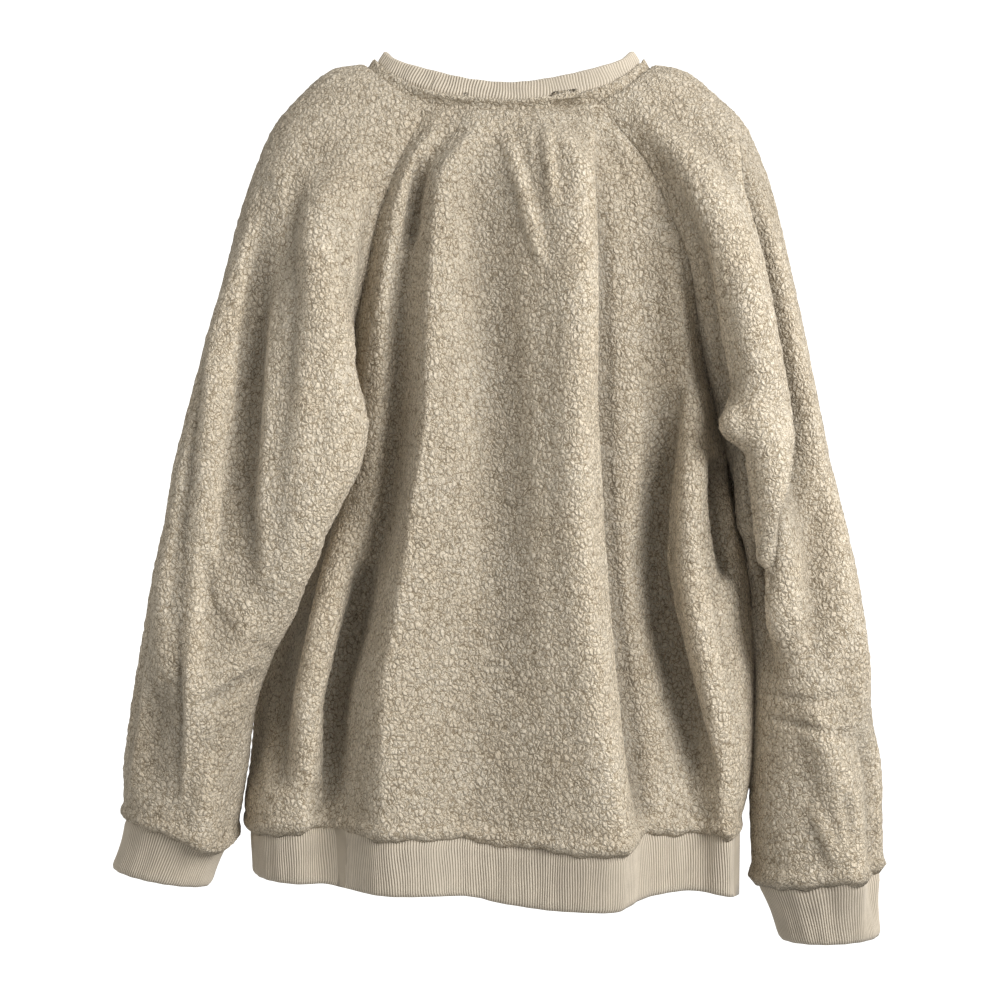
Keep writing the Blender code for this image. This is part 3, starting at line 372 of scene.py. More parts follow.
def body_row(left, right, lines, columns, height_at, facing, roundness):
    """One row of the back or the front, from the left seam to the right seam through each fold."""
    spots = [np.array(left)]
    names = list(lines)
    least = min(FOLDS_APART, (left[0] - right[0]) / (len(names) + 1) * 0.55)
    for k, name in enumerate(names):
        x = read(lines[name], "z", "x", height_at(0.0))
        x = read(lines[name], "z", "x", height_at(x))
        x = min(x, left[0] - least * (k + 1))
        x = max(x, right[0] + least * (len(names) - k))
        x = min(x, spots[-1][0] - least * 0.5)
        z = height_at(x)
        spots.append(np.array([x, facing * read(lines[name], "z", "y", z), z]))
    spots.append(np.array(right))
    last = len(columns) - 1
    across, out, place = [], [], []
    for k in range(len(columns)):
        start, end = spots[k], spots[k + 1]
        for j in range(FINE_STEPS + (k == last)):
            t = j / FINE_STEPS
            x_share, y_share = t, ease(t)
            if k == 0:
                x_share += roundness[0] * (1 - math.cos(t * math.pi / 2) - x_share)
                y_share += roundness[0] * (math.sin(t * math.pi / 2) - y_share)
            if k == last:
                x_share += roundness[1] * (math.sin(t * math.pi / 2) - x_share)
                y_share += roundness[1] * (1 - math.cos(t * math.pi / 2) - y_share)
            across.append(start[0] + (end[0] - start[0]) * x_share)
            out.append(start[1] + (end[1] - start[1]) * y_share)
            place.append(k + t)
    length = np.concatenate([[0], np.cumsum(np.hypot(np.diff(across), np.diff(out)))])
    wanted = [k + j / cells for k, cells in enumerate(columns) for j in range(cells)] + [last + 1]
    step = np.diff(np.interp(wanted, place, length))
    least_step = LEAST_STEP * length[-1] / len(step)
    step = np.maximum(step, least_step)
    spare = (length[-1] - least_step * len(step)) / np.sum(step - least_step)
    step = least_step + (step - least_step) * spare
    ends = np.concatenate([[0], np.cumsum(step)])
    xs = np.interp(ends, length, across)
    ys = np.interp(ends, length, out)
    row = [np.array([x, y, height_at(x)]) for x, y in zip(xs, ys)]
    row[0] = np.array(left)
    row[-1] = np.array(right)
    return row


# How far the middle of a row at the neck hangs below its ends, and how soon that dies away; the
# share of the way to the underarm in which the neck's curve goes over into the cloth's, and in
# which the folds open; and how round the body is at the underarm
BACK_SAG = -8.0
FRONT_SAG = -60.0
SAG_POWER = 1.4
YOKE_NECK_BLEND = 0.22
FOLD_NECK_BLEND = 0.4
UNDERARM_ROUND = 0.3


def yoke_row(left, right, lines, columns, on_back, v):
    """A row of the back or the front above the underarm, which starts on the neck's seam."""
    facing = 1 if on_back else -1
    sag = (BACK_SAG if on_back else FRONT_SAG) * (1 - v) ** SAG_POWER

    def height_at(x):
        share = (left[0] - x) / (left[0] - right[0])
        level = left[2] + (right[2] - left[2]) * share
        return level + sag * (1 - (2 * share - 1) ** 2)

    row = body_row(left, right, lines, columns, height_at, facing, (UNDERARM_ROUND * ease(v),) * 2)
    spread = ease(v / FOLD_NECK_BLEND)
    for j, spot in enumerate(row):
        even = left[0] + (right[0] - left[0]) * j / (len(row) - 1)
        spot[0] = even + (spot[0] - even) * spread
        if 0 < j < len(row) - 1:
            spot[2] = height_at(spot[0])
    settle = ease(v / YOKE_NECK_BLEND)
    if settle < 1:
        width = (left[0] - right[0]) / 2
        middle = (left[0] + right[0]) / 2
        neck_left = neck_seam(neck_turn(LEFT_RINGS["back_x" if on_back else "front_x"][0], on_back))
        neck_right = neck_seam(neck_turn(RIGHT_RINGS["back_x" if on_back else "front_x"][0], on_back))
        neck_width = (neck_left[0] - neck_right[0]) / 2
        neck_middle = (neck_left[0] + neck_right[0]) / 2
        for j, spot in enumerate(row[1:-1], 1):
            share = (spot[0] - middle) / width
            on_neck = neck_seam(neck_turn(neck_middle + share * neck_width, on_back))
            spot[1] = on_neck[1] + (spot[1] - on_neck[1]) * settle
            if v == 0:
                row[j] = on_neck
    return row


def hem_height(x):
    """The height of the hem's seam."""
    return read(HEM_SEAM, "x", "z", x)


def lower_row(lines, columns, facing, t):
    """A row of the back or the front between the underarm and the hem."""
    left_top, right_top = LEFT_ARM["in_z"][0] - 4, RIGHT_ARM["in_z"][0]
    left_z = left_top + (hem_height(SIDES["left_x"][-1]) - left_top) * t
    right_z = right_top + (hem_height(SIDES["right_x"][-1]) - right_top) * t
    left = np.array([read(SIDES, "z", "left_x", left_z), read(SIDES, "z", "left_y", left_z), left_z])
    right = np.array([read(SIDES, "z", "right_x", right_z), read(SIDES, "z", "right_y", right_z), right_z])

    def height_at(x):
        share = min(max((left[0] - x) / (left[0] - right[0]), 0.0), 1.0)
        top = left_top + (right_top - left_top) * share
        return top + (hem_height(x) - top) * t

    return body_row(left, right, lines, columns, height_at, facing,
                    (read(SIDES, "z", "left_round", left_z), read(SIDES, "z", "right_round", right_z)))


# Sewing: the four pieces meet at their seams, point for point, and the whole cloth is evened a
# little across them, as the pull of the seams does. The net's rows run from the neck to the
# underarm, and from there to the hem or to the cuff.
YOKE_ROWS = 33
BODY_ROWS = 36
ARM_ROWS = 36
ARM_COLUMNS = 52


def build_net():
    """The garment's outer surface as four grids that share their seam points exactly."""
    left_sleeve, right_sleeve, back, front = [], [], [], []
    for i in range(YOKE_ROWS + 1):
        v = i / YOKE_ROWS
        left = shoulder_ring(LEFT_RINGS, LEFT_FOLDS, v, ARM_COLUMNS)
        right = shoulder_ring(RIGHT_RINGS, RIGHT_FOLDS, v, ARM_COLUMNS)
        if i == YOKE_ROWS:
            left[-1] = left[0].copy()
            right[-1] = right[0].copy()
        left_sleeve.append(left)
        right_sleeve.append(right)
        back.append(yoke_row(left[0], right[0], BACK_LINES, BACK_COLUMNS, True, v))
        front.append(yoke_row(left[-1], right[-1], FRONT_LINES, FRONT_COLUMNS, False, v))
    for i in range(1, BODY_ROWS + 1):
        t = i / BODY_ROWS
        back.append(lower_row(BACK_LINES, BACK_COLUMNS, 1, t))
        front.append(lower_row(FRONT_LINES, FRONT_COLUMNS, -1, t))
    for i in range(1, ARM_ROWS + 1):
        u = 1 + i / ARM_ROWS
        left_sleeve.append(arm_ring(LEFT_ARM, LEFT_FOLDS, u, ARM_COLUMNS))
        right_sleeve.append(arm_ring(RIGHT_ARM, RIGHT_FOLDS, u, ARM_COLUMNS))
    return {name: np.array(rows) for name, rows in (
        ("back", back), ("front", front),
        ("sleeve_left", left_sleeve), ("sleeve_right", right_sleeve))}


# The order of a grid's corners that makes its faces look outward
OUTWARD = {"back": -1, "front": 1, "sleeve_left": 1, "sleeve_right": -1}

# Share by which each point is drawn to its neighbours to even the cloth
SOFTEN = 0.4


def soften(net):
    """Evens the whole surface a little, across the seams too, and keeps the open edges."""
    key = {}
    place = []
    index = {}
    for name, grid in net.items():
        index[name] = np.empty(grid.shape[:2], dtype=int)
        for i, row in enumerate(grid):
            for j, spot in enumerate(row):
                mark = tuple(np.round(spot, 4))
                if mark not in key:
                    key[mark] = len(place)
                    place.append(np.array(spot, dtype=float))
                index[name][i, j] = key[mark]
    place = np.array(place)
    near = [set() for _ in place]
    fixed = set()
    for name, ids in index.items():
        near_rows = [(ids[:-1, :].ravel(), ids[1:, :].ravel()), (ids[:, :-1].ravel(), ids[:, 1:].ravel())]
        for first, second in near_rows:
            for a, b in zip(first, second):
                if a != b:
                    near[a].add(b)
                    near[b].add(a)
        fixed.update(ids[0])
        fixed.update(ids[-1])
    moved = place.copy()
    for a, others in enumerate(near):
        if a not in fixed:
            moved[a] = place[a] * (1 - SOFTEN) + place[list(others)].mean(axis=0) * SOFTEN
    return index, moved


def closed_edge(parts):
    """Joins the edge rows of several grids into one closed ring with no doubled points."""
    ring = []
    for part in parts:
        ring.extend(list(part[:-1]))
    return np.array(ring)


# How far the neckband leans in to the neck as it stands up
NECK_BAND_LEAN = 0.55


def neck_directions(index, place):
    """The neck's seam, and the band's way up and way out at each of its points."""
    ids = closed_edge([index["back"][0], index["sleeve_right"][0], index["front"][0][::-1],
                       index["sleeve_left"][0][::-1]])
    seam = place[ids]
    along = np.roll(seam, -1, axis=0) - np.roll(seam, 1, axis=0)
    along /= np.linalg.norm(along, axis=1, keepdims=True)
    inward = -seam * (1, 1, 0)
    inward /= np.linalg.norm(inward, axis=1, keepdims=True)
    up = np.array([0, 0, 1.0]) + inward * NECK_BAND_LEAN
    up -= along * np.sum(up * along, axis=1, keepdims=True)
    up /= np.linalg.norm(up, axis=1, keepdims=True)
    out = np.cross(up, along)
    out *= np.sign(np.sum(out * -inward, axis=1, keepdims=True))
    return ids, up, out


# Which way the cloth faces at the point of each underarm, left (0) and right (-1)
UNDERARM_WAYS = {0: (0.0, 0.0, -1.0), -1: (-0.1, 0.0, -0.995)}


def net_normals(index, place):
    """A normal for each point of the joined surface, shared fairly between pieces at a seam."""
    normal = np.zeros_like(place)
    for name, ids in index.items():
        own = np.zeros_like(place)
        a, b, c, d = ids[:-1, :-1], ids[:-1, 1:], ids[1:, 1:], ids[1:, :-1]
        face = np.cross(place[c] - place[a], place[d] - place[b]) * OUTWARD[name]
        face /= np.maximum(np.linalg.norm(face, axis=2, keepdims=True), 1e-9)
        for corner in (a, b, c, d):
            np.add.at(own, corner, face)
        normal += own / np.maximum(np.linalg.norm(own, axis=1, keepdims=True), 1e-9)
    normal /= np.maximum(np.linalg.norm(normal, axis=1, keepdims=True), 1e-9)
    for name in ("back", "front"):
        for column in (0, -1):
            seam = index[name][:, column]
            even = normal[seam].copy()
            even[1:-1] = normal[seam[:-2]] + 2 * normal[seam[1:-1]] + normal[seam[2:]]
            normal[seam] = even / np.linalg.norm(even, axis=1, keepdims=True)
            normal[index[name][YOKE_ROWS, column]] = UNDERARM_WAYS[column]
    for name in ("back", "front"):
        level = normal[index[name][-1]] * (1, 1, 0)
        normal[index[name][-1]] = level / np.linalg.norm(level, axis=1, keepdims=True)
    neck, up, out = neck_directions(index, place)
    normal[neck] = out
    return normal


index, place = soften(build_net())
seam_normal = net_normals(index, place)


# The sherpa fleece itself: a knitted base with a cream pile in curls about 4 mm across, pale at
# the tips, with painted shade down between them. Each point of the cloth carries pile, which is 0
# down between curls and 1 on a curl, and hollow, which is how deep it lies between the folds;
# both darken the colour as painted shade.
def node(tree, kind, **values):
    """A shader node with its settings, and the plain values of its sockets (From_Min for From Min)."""
    made = tree.nodes.new(kind)
    for key, value in values.items():
        label = key.replace("_", " ")
        if label in made.inputs:
            made.inputs[label].default_value = value
        else:
            setattr(made, key, value)
    return made


def combined(tree, kind, operation, *terms):
    """The outcome of a math node over plain values and other nodes' outputs."""
    made = node(tree, kind, operation=operation)
    for socket, term in zip(made.inputs, terms):
        if isinstance(term, bpy.types.NodeSocket):
            tree.links.new(term, socket)
        else:
            socket.default_value = term
    return made.outputs[0]


def noise(tree, spot, scale, detail, roughness):
    """A cloudy noise over the object's own space."""
    made = node(tree, "ShaderNodeTexNoise", Scale=scale, Detail=detail, Roughness=roughness)
    tree.links.new(spot, made.inputs["Vector"])
    return made


def cell_edges(tree, spot, scale):
    """How far each place lies from the edge of its curl."""
    made = node(tree, "ShaderNodeTexVoronoi", feature="DISTANCE_TO_EDGE", Scale=scale)
    tree.links.new(spot, made.inputs["Vector"])
    return made.outputs["Distance"]


def spread(tree, value, curve, **ends):
    """Spreads a value from one range over another."""
    made = node(tree, "ShaderNodeMapRange", interpolation_type=curve, **ends)
    tree.links.new(value, made.inputs["Value"])
    return made


def painted(name, settings):
    """A new material, and its node tree and shader with plain settings."""
    material = bpy.data.materials.new(name)
    material.use_nodes = True
    shader = material.node_tree.nodes["Principled BSDF"]
    for socket, value in settings.items():
        shader.inputs[socket].default_value = value
    return material, material.node_tree, shader


def fleece_material():
    """Sherpa pile: pale curls, painted shade between them and in the folds, painted light on ridges."""
    material, tree, shader = painted("sherpa_pile", {
        "Roughness": 0.95, "Specular IOR Level": 0.15, "Sheen Weight": 0.25,
        "Sheen Roughness": 0.6, "Sheen Tint": (0.95, 0.9, 0.8, 1.0)})
    link = tree.links.new
    spot = node(tree, "ShaderNodeTexCoord").outputs["Object"]
    bend = noise(tree, spot, 220.0, 2.0, 0.55).outputs["Color"]
    bent = combined(tree, "ShaderNodeVectorMath", "MULTIPLY_ADD", bend, (0.005, 0.005, 0.005), spot)
    longer = combined(tree, "ShaderNodeVectorMath", "MULTIPLY", bent, (1.0, 1.0, 0.74))
    fibre = noise(tree, bent, 950.0, 3.0, 0.7).outputs["Fac"]
    # Curls with gaps of uneven width between them, each split into small tufts
    gap = spread(tree, noise(tree, spot, 200.0, 2.0, 0.6).outputs["Fac"], "LINEAR",
                 From_Min=0.35, From_Max=0.65, To_Min=0.05, To_Max=0.19)
    curl = cell_edges(tree, longer, 285.0)
    crack = spread(tree, curl, "SMOOTHSTEP", From_Min=0.0)
    link(gap.outputs["Result"], crack.inputs["From Max"])
    split = spread(tree, cell_edges(tree, longer, 540.0), "SMOOTHSTEP",
                   From_Min=0.0, From_Max=0.14, To_Min=0.5)
    curls = combined(tree, "ShaderNodeMath", "MULTIPLY", crack.outputs["Result"], split.outputs["Result"])
    # Painted shade: where the pile's relief is low, and along the cracks between curls, the colour goes
    # dark
    pile = node(tree, "ShaderNodeAttribute", attribute_name="pile").outputs["Fac"]
    depth = combined(tree, "ShaderNodeMath", "MULTIPLY_ADD", pile, 0.3, curls)
    grain = combined(tree, "ShaderNodeMath", "MULTIPLY_ADD", fibre, 0.4, depth)
    share = combined(tree, "ShaderNodeMath", "MULTIPLY", grain, 0.68)
    # Cream at the tips, going dark toward the gaps between curls as painted shade, uneven over the cloth
    ramp = node(tree, "ShaderNodeValToRGB")
    shaded_gaps, tips = ramp.color_ramp.elements
    shaded_gaps.position = 0.1
    shaded_gaps.color = (0.12, 0.085, 0.044, 1.0)
    tips.position = 1.0
    tips.color = (0.82, 0.725, 0.58, 1.0)
    ramp.color_ramp.elements.new(0.62).color = (0.62, 0.525, 0.39, 1.0)
    link(share, ramp.inputs["Fac"])
    uneven = node(tree, "ShaderNodeMixRGB", blend_type="SOFT_LIGHT", Fac=0.45)
    link(ramp.outputs["Color"], uneven.inputs["Color1"])
    link(noise(tree, spot, 26.0, 3.0, 0.6).outputs["Fac"], uneven.inputs["Color2"])
    # Painted shade deep between the folds and in troughs, a little painted light on the ridges
    hollow = node(tree, "ShaderNodeAttribute", attribute_name="hollow").outputs["Fac"]
    shade = spread(tree, hollow, "LINEAR", From_Min=-0.6, From_Max=1.0, To_Min=1.06, To_Max=0.55)
    shaded_colour = node(tree, "ShaderNodeVectorMath", operation="SCALE")
    link(uneven.outputs["Color"], shaded_colour.inputs[0])
    link(shade.outputs["Result"], shaded_colour.inputs["Scale"])
    link(shaded_colour.outputs[0], shader.inputs["Base Color"])
    # The rounded curls and their fibres in low relief
    dome = spread(tree, curl, "SMOOTHERSTEP", From_Min=0.0, From_Max=0.42)
    curl_bump = node(tree, "ShaderNodeBump", Strength=0.85, Distance=0.0018)
    link(dome.outputs["Result"], curl_bump.inputs["Height"])
    fibre_bump = node(tree, "ShaderNodeBump", Strength=0.8, Distance=0.0006)
    link(fibre, fibre_bump.inputs["Height"])
    link(curl_bump.outputs["Normal"], fibre_bump.inputs["Normal"])
    link(fibre_bump.outputs["Normal"], shader.inputs["Normal"])
    return material


sherpa = fleece_material()


def finer(grid, rows, columns):
    """Puts more rows and columns between those of a grid, on smooth curves through its points."""
    for axis, times in ((0, rows), (1, columns)):
        line = np.moveaxis(grid, axis, 0)
        before = np.concatenate([2 * line[:1] - line[1:2], line[:-1]])
        after = np.concatenate([line[1:], 2 * line[-1:] - line[-2:-1]])
        slope = (after - before) / 2
        count = len(line)
        out = np.empty(((count - 1) * times + 1,) + line.shape[1:])
        for k in range(times):
            t = k / times
            out[k:-1:times] = (line[:-1] * (1 + 2 * t) * (1 - t) ** 2 + line[1:] * (3 - 2 * t) * t * t
                               + slope[:-1] * t * (1 - t) ** 2 + slope[1:] * t * t * (t - 1))
        out[-1] = line[-1]
        grid = np.moveaxis(out, 0, axis)
    return grid


def cloth_normals(grid, outward):
    """Unit normals of a grid's points, evened a little."""
    down = np.gradient(grid, axis=0)
    across = np.gradient(grid, axis=1)
    normal = np.cross(across, down) * outward
    normal /= np.maximum(np.linalg.norm(normal, axis=2, keepdims=True), 1e-9)
    for _ in range(2):
        even = normal.copy()
        even[1:-1] += normal[:-2] + normal[2:]
        even[:, 1:-1] += normal[:, :-2] + normal[:, 2:]
        normal = even / np.maximum(np.linalg.norm(even, axis=2, keepdims=True), 1e-9)
    return normal


def cloth_lengths(grid):
    """How far each point lies along the cloth from its left, right, top and bottom edge."""
    across = np.linalg.norm(np.diff(grid, axis=1), axis=2)
    from_left = np.concatenate([np.zeros((len(grid), 1)), np.cumsum(across, axis=1)], axis=1)
    down = np.linalg.norm(np.diff(grid, axis=0), axis=2)
    from_top = np.concatenate([np.zeros((1, grid.shape[1])), np.cumsum(down, axis=0)])
    return from_left, from_left[:, -1:] - from_left, from_top, from_top[-1:] - from_top


def cells(points, size, seed):
    """Curls of the pile: for each point, how near it is to the middle of its cell, 1 there."""
    spot = points / size
    base = np.floor(spot).astype(np.int64)
    best = np.full(points.shape[:-1], 9.0)
    steps = (-1, 0, 1)
    for step in ((a, b, c) for a in steps for b in steps for c in steps):
        cell = base + step
        mix = cell[..., 0] * 73856093
        mix = mix ^ (cell[..., 1] * 19349663) ^ (cell[..., 2] * 83492791) ^ seed
        away = np.zeros(points.shape[:-1])
        for k in range(3):
            mix = (mix * 1103515245 + 12345) & 0x7FFFFFFF
            jitter = (mix >> 8) % 1024 / 1024
            away += (cell[..., k] + jitter - spot[..., k]) ** 2
        best = np.minimum(best, away)
    return 1 - np.minimum(np.sqrt(best), 1.0)


def crease(points, normal, over_back, path, height, left_reach, right_reach):
    """A ridge, or a trough when height is negative, along a path of x and z over one side."""
    path = np.array(path, dtype=float)
    best = np.full(points.shape[:2], 1e9)
    side = np.zeros(points.shape[:2])
    along = np.zeros(points.shape[:2])
    whole = np.linalg.norm(np.diff(path, axis=0), axis=1)
    start = 0.0
    for k in range(len(path) - 1):
        way = (path[k + 1] - path[k]) / whole[k]
        dx = points[..., 0] - path[k, 0]
        dz = points[..., 2] - path[k, 1]
        t = np.clip(dx * way[0] + dz * way[1], 0, whole[k])
        off = np.hypot(dx - way[0] * t, dz - way[1] * t)
        nearer = off < best
        best = np.where(nearer, off, best)
        side = np.where(nearer, way[0] * dz - way[1] * dx, side)
        along = np.where(nearer, start + t, along)
        start += whole[k]
    reach = np.where(side > 0, left_reach, right_reach)
    shape = np.maximum(0, 1 - (best / reach) ** 2) ** 2
    fade = np.sin(np.pi * np.clip(along / start, 0, 1)) ** 0.6
    seen = np.clip(normal[..., 1] * (1 if over_back else -1) * 2.5 + 0.3, 0, 1)
    return height * shape * fade * seen


def pull(points, centre, reach, move):
    """Moves the cloth round a place, most at its centre and not at all beyond its reach."""
    far = np.sum(((points - centre) / np.array(reach, dtype=float)) ** 2, axis=-1)
    return points + np.maximum(0, 1 - far)[..., None] ** 2 * np.array(move, dtype=float)


def hollows(points, normal, reach_rows, reach_columns):
    """How deep each point lies between the folds round it, in mm, below zero on a ridge."""
    wide = points
    for axis, reach in ((0, reach_rows), (1, reach_columns)):
        padding = [(0, 0), (0, 0), (0, 0)]
        padding[axis] = (reach, reach)
        padded = np.pad(wide, padding, mode="reflect", reflect_type="odd")
        steps = range(2 * reach + 1)
        wide = sum(np.take(padded, range(k, k + wide.shape[axis]), axis=axis) for k in steps) / len(steps)
    return np.sum((wide - points) * normal, axis=2)


def stitch(fine_loop, coarse_loop, marks):
    """Faces of a rim between a fine closed loop and a coarse one. marks are the fine loop's
    places that the coarse loop's points stand for."""
    faces = []
    count = len(fine_loop)
    for k, mark in enumerate(marks):
        last = k + 1 == len(marks)
        to = marks[0] + count if last else marks[k + 1]
        a, b = coarse_loop[k], coarse_loop[0 if last else k + 1]
        middle = (mark + to) // 2
        for j in range(mark, to):
            near = a if j < middle else b
            faces.append([fine_loop[j % count], near, fine_loop[(j + 1) % count]])
        faces.append([fine_loop[middle % count], a, b])
    return faces


def grid_faces(rows, columns, start, flip):
    """Four-sided faces of a grid whose points are numbered from start."""
    corner = (np.arange(rows - 1)[:, None] * columns + np.arange(columns - 1)[None]).ravel() + start
    faces = np.stack([corner, corner + 1, corner + columns + 1, corner + columns], axis=1)
    return faces[:, ::-1] if flip else faces


def edge_loop(rows, columns):
    """The points round a grid's edge, in order."""
    loop = list(range(columns))
    loop += [i * columns + columns - 1 for i in range(1, rows)]
    loop += [(rows - 1) * columns + j for j in range(columns - 2, -1, -1)]
    loop += [i * columns for i in range(rows - 2, 0, -1)]
    return loop


MM = 0.001


def make_piece(name, points, faces, material, values):
    """A mesh piece in metres that rides with the garment, with named values at its points."""
    mesh = bpy.data.meshes.new(name)
    mesh.from_pydata((np.asarray(points) * MM).tolist(), [], faces)
    mesh.update()
    for label, amounts in values.items():
        layer = mesh.attributes.new(label, "FLOAT", "POINT")
        layer.data.foreach_set("value", np.asarray(amounts, dtype=np.float32))
    mesh.materials.append(material)
    mesh.shade_smooth()
    piece = bpy.data.objects.new(name, mesh)
    bpy.context.scene.collection.objects.link(piece)
    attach(piece, "root")
    return piece


def round_over(share):
    """How far a rounded edge has turned down, 0 where it starts and 1 at its end."""
    return 1 - np.sqrt(np.maximum(0, 1 - share ** 2))


def unit(ways):
    """Ways of length one."""
    return ways / np.linalg.norm(ways, axis=2, keepdims=True)


# The cloth's outside has this many rows for each of the net's, and the inside as many as the net.
# Creases die away beside a seam, and close to any edge the cloth faces as its neighbour does.
ROWS_FINER = 4
SEAM_FLAT = 14
EDGE_SHARED = 9
# The least hollow, on a ridge, where the painted shade turns to a little painted light
HOLLOW_LEAST = -0.6


def creased_cloth(name, creases, pulls, columns_finer):
    """One piece's outside before its pile: points, normals, hollows for painted shade and edge distances.
    """
    base = finer(place[index[name]], ROWS_FINER, columns_finer)
    for centre, reach, move in pulls.values():
        base = pull(base, centre, reach, move)
    for k in range(1, ROWS_FINER):
        base[k] = base[0] + (base[ROWS_FINER] - base[0]) * (k / ROWS_FINER)
    normal = cloth_normals(base, OUTWARD[name])
    lengths = cloth_lengths(base)
    from_left, from_right, from_top, from_bottom = lengths
    push = np.zeros(base.shape[:2])
    for over_back, path, height, left_reach, right_reach in creases.values():
        push += crease(base, normal, over_back, path, height, left_reach, right_reach)
    push = push * np.clip(np.minimum(from_left, from_right) / SEAM_FLAT, 0, 1)
    base = base + normal * push[..., None]
    normal = cloth_normals(base, OUTWARD[name])
    shared = finer(seam_normal[index[name]], ROWS_FINER, columns_finer)
    near_edge = np.minimum(np.minimum(from_left, from_right), np.minimum(from_top, from_bottom))
    weight = np.clip(1 - near_edge / EDGE_SHARED, 0, 1)[..., None]
    normal = unit(normal * (1 - weight) + shared * weight)
    # Painted shade from how deep each point lies between the folds and in a trough, less near an edge
    hollow = hollows(base, normal, 5, 9) / 7 + hollows(base, normal, 2, 4) / 4
    hollow = np.clip(hollow, HOLLOW_LEAST, 1.0) + np.clip(-push / 16, 0, 0.6)
    hollow = np.clip(hollow, HOLLOW_LEAST, 1.0)
    hollow = hollow * np.clip(np.minimum(from_top, from_bottom) / 12 - 0.2, 0, 1)
    return base, normal, hollow, lengths


# The pile's large and small curls and its height, the rounded edges at a seam, at the hem and at
# the neck, and the flattened strip with its row of stitches below the neck, all in millimetres
CURL_SIZE = 4.4
SMALL_CURL_SIZE = 3.0
PILE_HEIGHT = 1.5
SEAM_EDGE = 2.4
LOWER_EDGE = 4.0
NECK_EDGE = 3.0
NECK_ROLL = 5.0
NECK_STRIP = 10.5
STITCHES_BELOW_NECK = 8.8
STITCHES_WIDTH = 1.6


def pile_relief(base, lengths):
    """How far the pile stands out at each point, and how much of a curl is there."""
    from_left, from_right, from_top, from_bottom = lengths
    curls = cells(base * (1.0, 1.0, 0.75), CURL_SIZE, 11)
    small = cells(base, SMALL_CURL_SIZE, 29)
    pile = np.clip(curls * 1.25 - 0.15, 0, 1) * 0.7 + small * 0.3
    rise = PILE_HEIGHT * pile - 0.3
    at_seam = np.clip(1 - np.minimum(from_left, from_right) / SEAM_EDGE, 0, 1)
    rise = rise - 0.9 * round_over(at_seam)
    at_hem = np.clip(1 - from_bottom / LOWER_EDGE, 0, 1)
    rise = rise - 2.6 * round_over(at_hem) + 0.8 * np.exp(-((from_bottom - LOWER_EDGE) / 3.0) ** 2)
    strip_middle = (NECK_ROLL + NECK_STRIP) / 2
    strip = np.clip(1 - np.abs(from_top - strip_middle) / (NECK_STRIP - strip_middle), 0, 1)
    groove = np.exp(-((from_top - STITCHES_BELOW_NECK) / STITCHES_WIDTH) ** 2) * (1 - at_seam)
    rise = rise * (1 - 0.5 * np.minimum(1, strip * 2)) - 1.6 * np.sqrt(strip) - 1.6 * groove
    at_neck = np.clip(1 - from_top / NECK_EDGE, 0, 1)
    rise = rise - 6.6 * round_over(at_neck) + 0.8 * np.exp(-((from_top - 2.5) / 2.0) ** 2)
    # The curl value that colours the pile drops in the stitches' groove, painted shade there
    return rise, pile * (1 - 0.9 * groove)


# How near an edge the fleece starts to lap over its rib band, and how far it hangs over the hem
# and the cuffs and stands up at the neck
LOWER_LAP_START = 10
LOWER_LAP = 4.2
NECK_LAP_START = 4.5
NECK_LAP = 2.4
FLEECE_WALL = 4.0


def fleece_piece(name, creases, pulls, columns_finer):
    """One fleece piece: its smooth form, its creases, its pile, and a plain inside."""
    base, normal, hollow, lengths = creased_cloth(name, creases, pulls, columns_finer)
    from_top, from_bottom = lengths[2:]
    rise, pile = pile_relief(base, lengths)
    outer = base + normal * rise[..., None]
    sway = 1 + 0.3 * np.sin(base[..., 0] / 8.0 + base[..., 1] / 11.0) + 0.2 * np.sin(base[..., 0] / 3.1)
    lap = np.clip(1 - from_bottom / LOWER_LAP_START, 0, 1)
    outer += unit(base[-1:] - base[-2:-1]) * (LOWER_LAP * sway * lap ** 1.5)[..., None]
    outer += normal * (9.0 * lap * (1 - lap))[..., None]
    lap = np.clip(1 - from_top / NECK_LAP_START, 0, 1)
    outer += unit(base[:1] - base[1:2]) * (NECK_LAP * sway * lap)[..., None]
    outer += normal * (9.0 * lap * (1 - lap))[..., None]
    coarse = (slice(None, None, ROWS_FINER), slice(None, None, columns_finer))
    inner = base[coarse] - normal[coarse] * FLEECE_WALL
    rows, columns = base.shape[:2]
    in_rows, in_columns = inner.shape[:2]
    count = rows * columns
    inward_order = OUTWARD[name] < 0
    faces = grid_faces(rows, columns, 0, not inward_order).tolist()
    faces += grid_faces(in_rows, in_columns, count, inward_order).tolist()
    where = {spot: k for k, spot in enumerate(edge_loop(rows, columns))}
    in_loop = edge_loop(in_rows, in_columns)
    marks = [where[(spot // in_columns) * ROWS_FINER * columns + (spot % in_columns) * columns_finer]
             for spot in in_loop]
    rim = stitch(edge_loop(rows, columns), [spot + count for spot in in_loop], marks)
    faces += rim if inward_order else [face[::-1] for face in rim]
    points = np.concatenate([outer.reshape(-1, 3), inner.reshape(-1, 3)])
    plain = np.zeros(in_rows * in_columns)
    # pile and hollow carry the painted shade between curls and in the folds into the colour
    piece = make_piece(name + "_fleece", points, faces, sherpa,
                       {"pile": np.concatenate([pile.ravel(), plain + 0.3]),
                        "hollow": np.concatenate([hollow.ravel(), plain])})
    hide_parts(name)
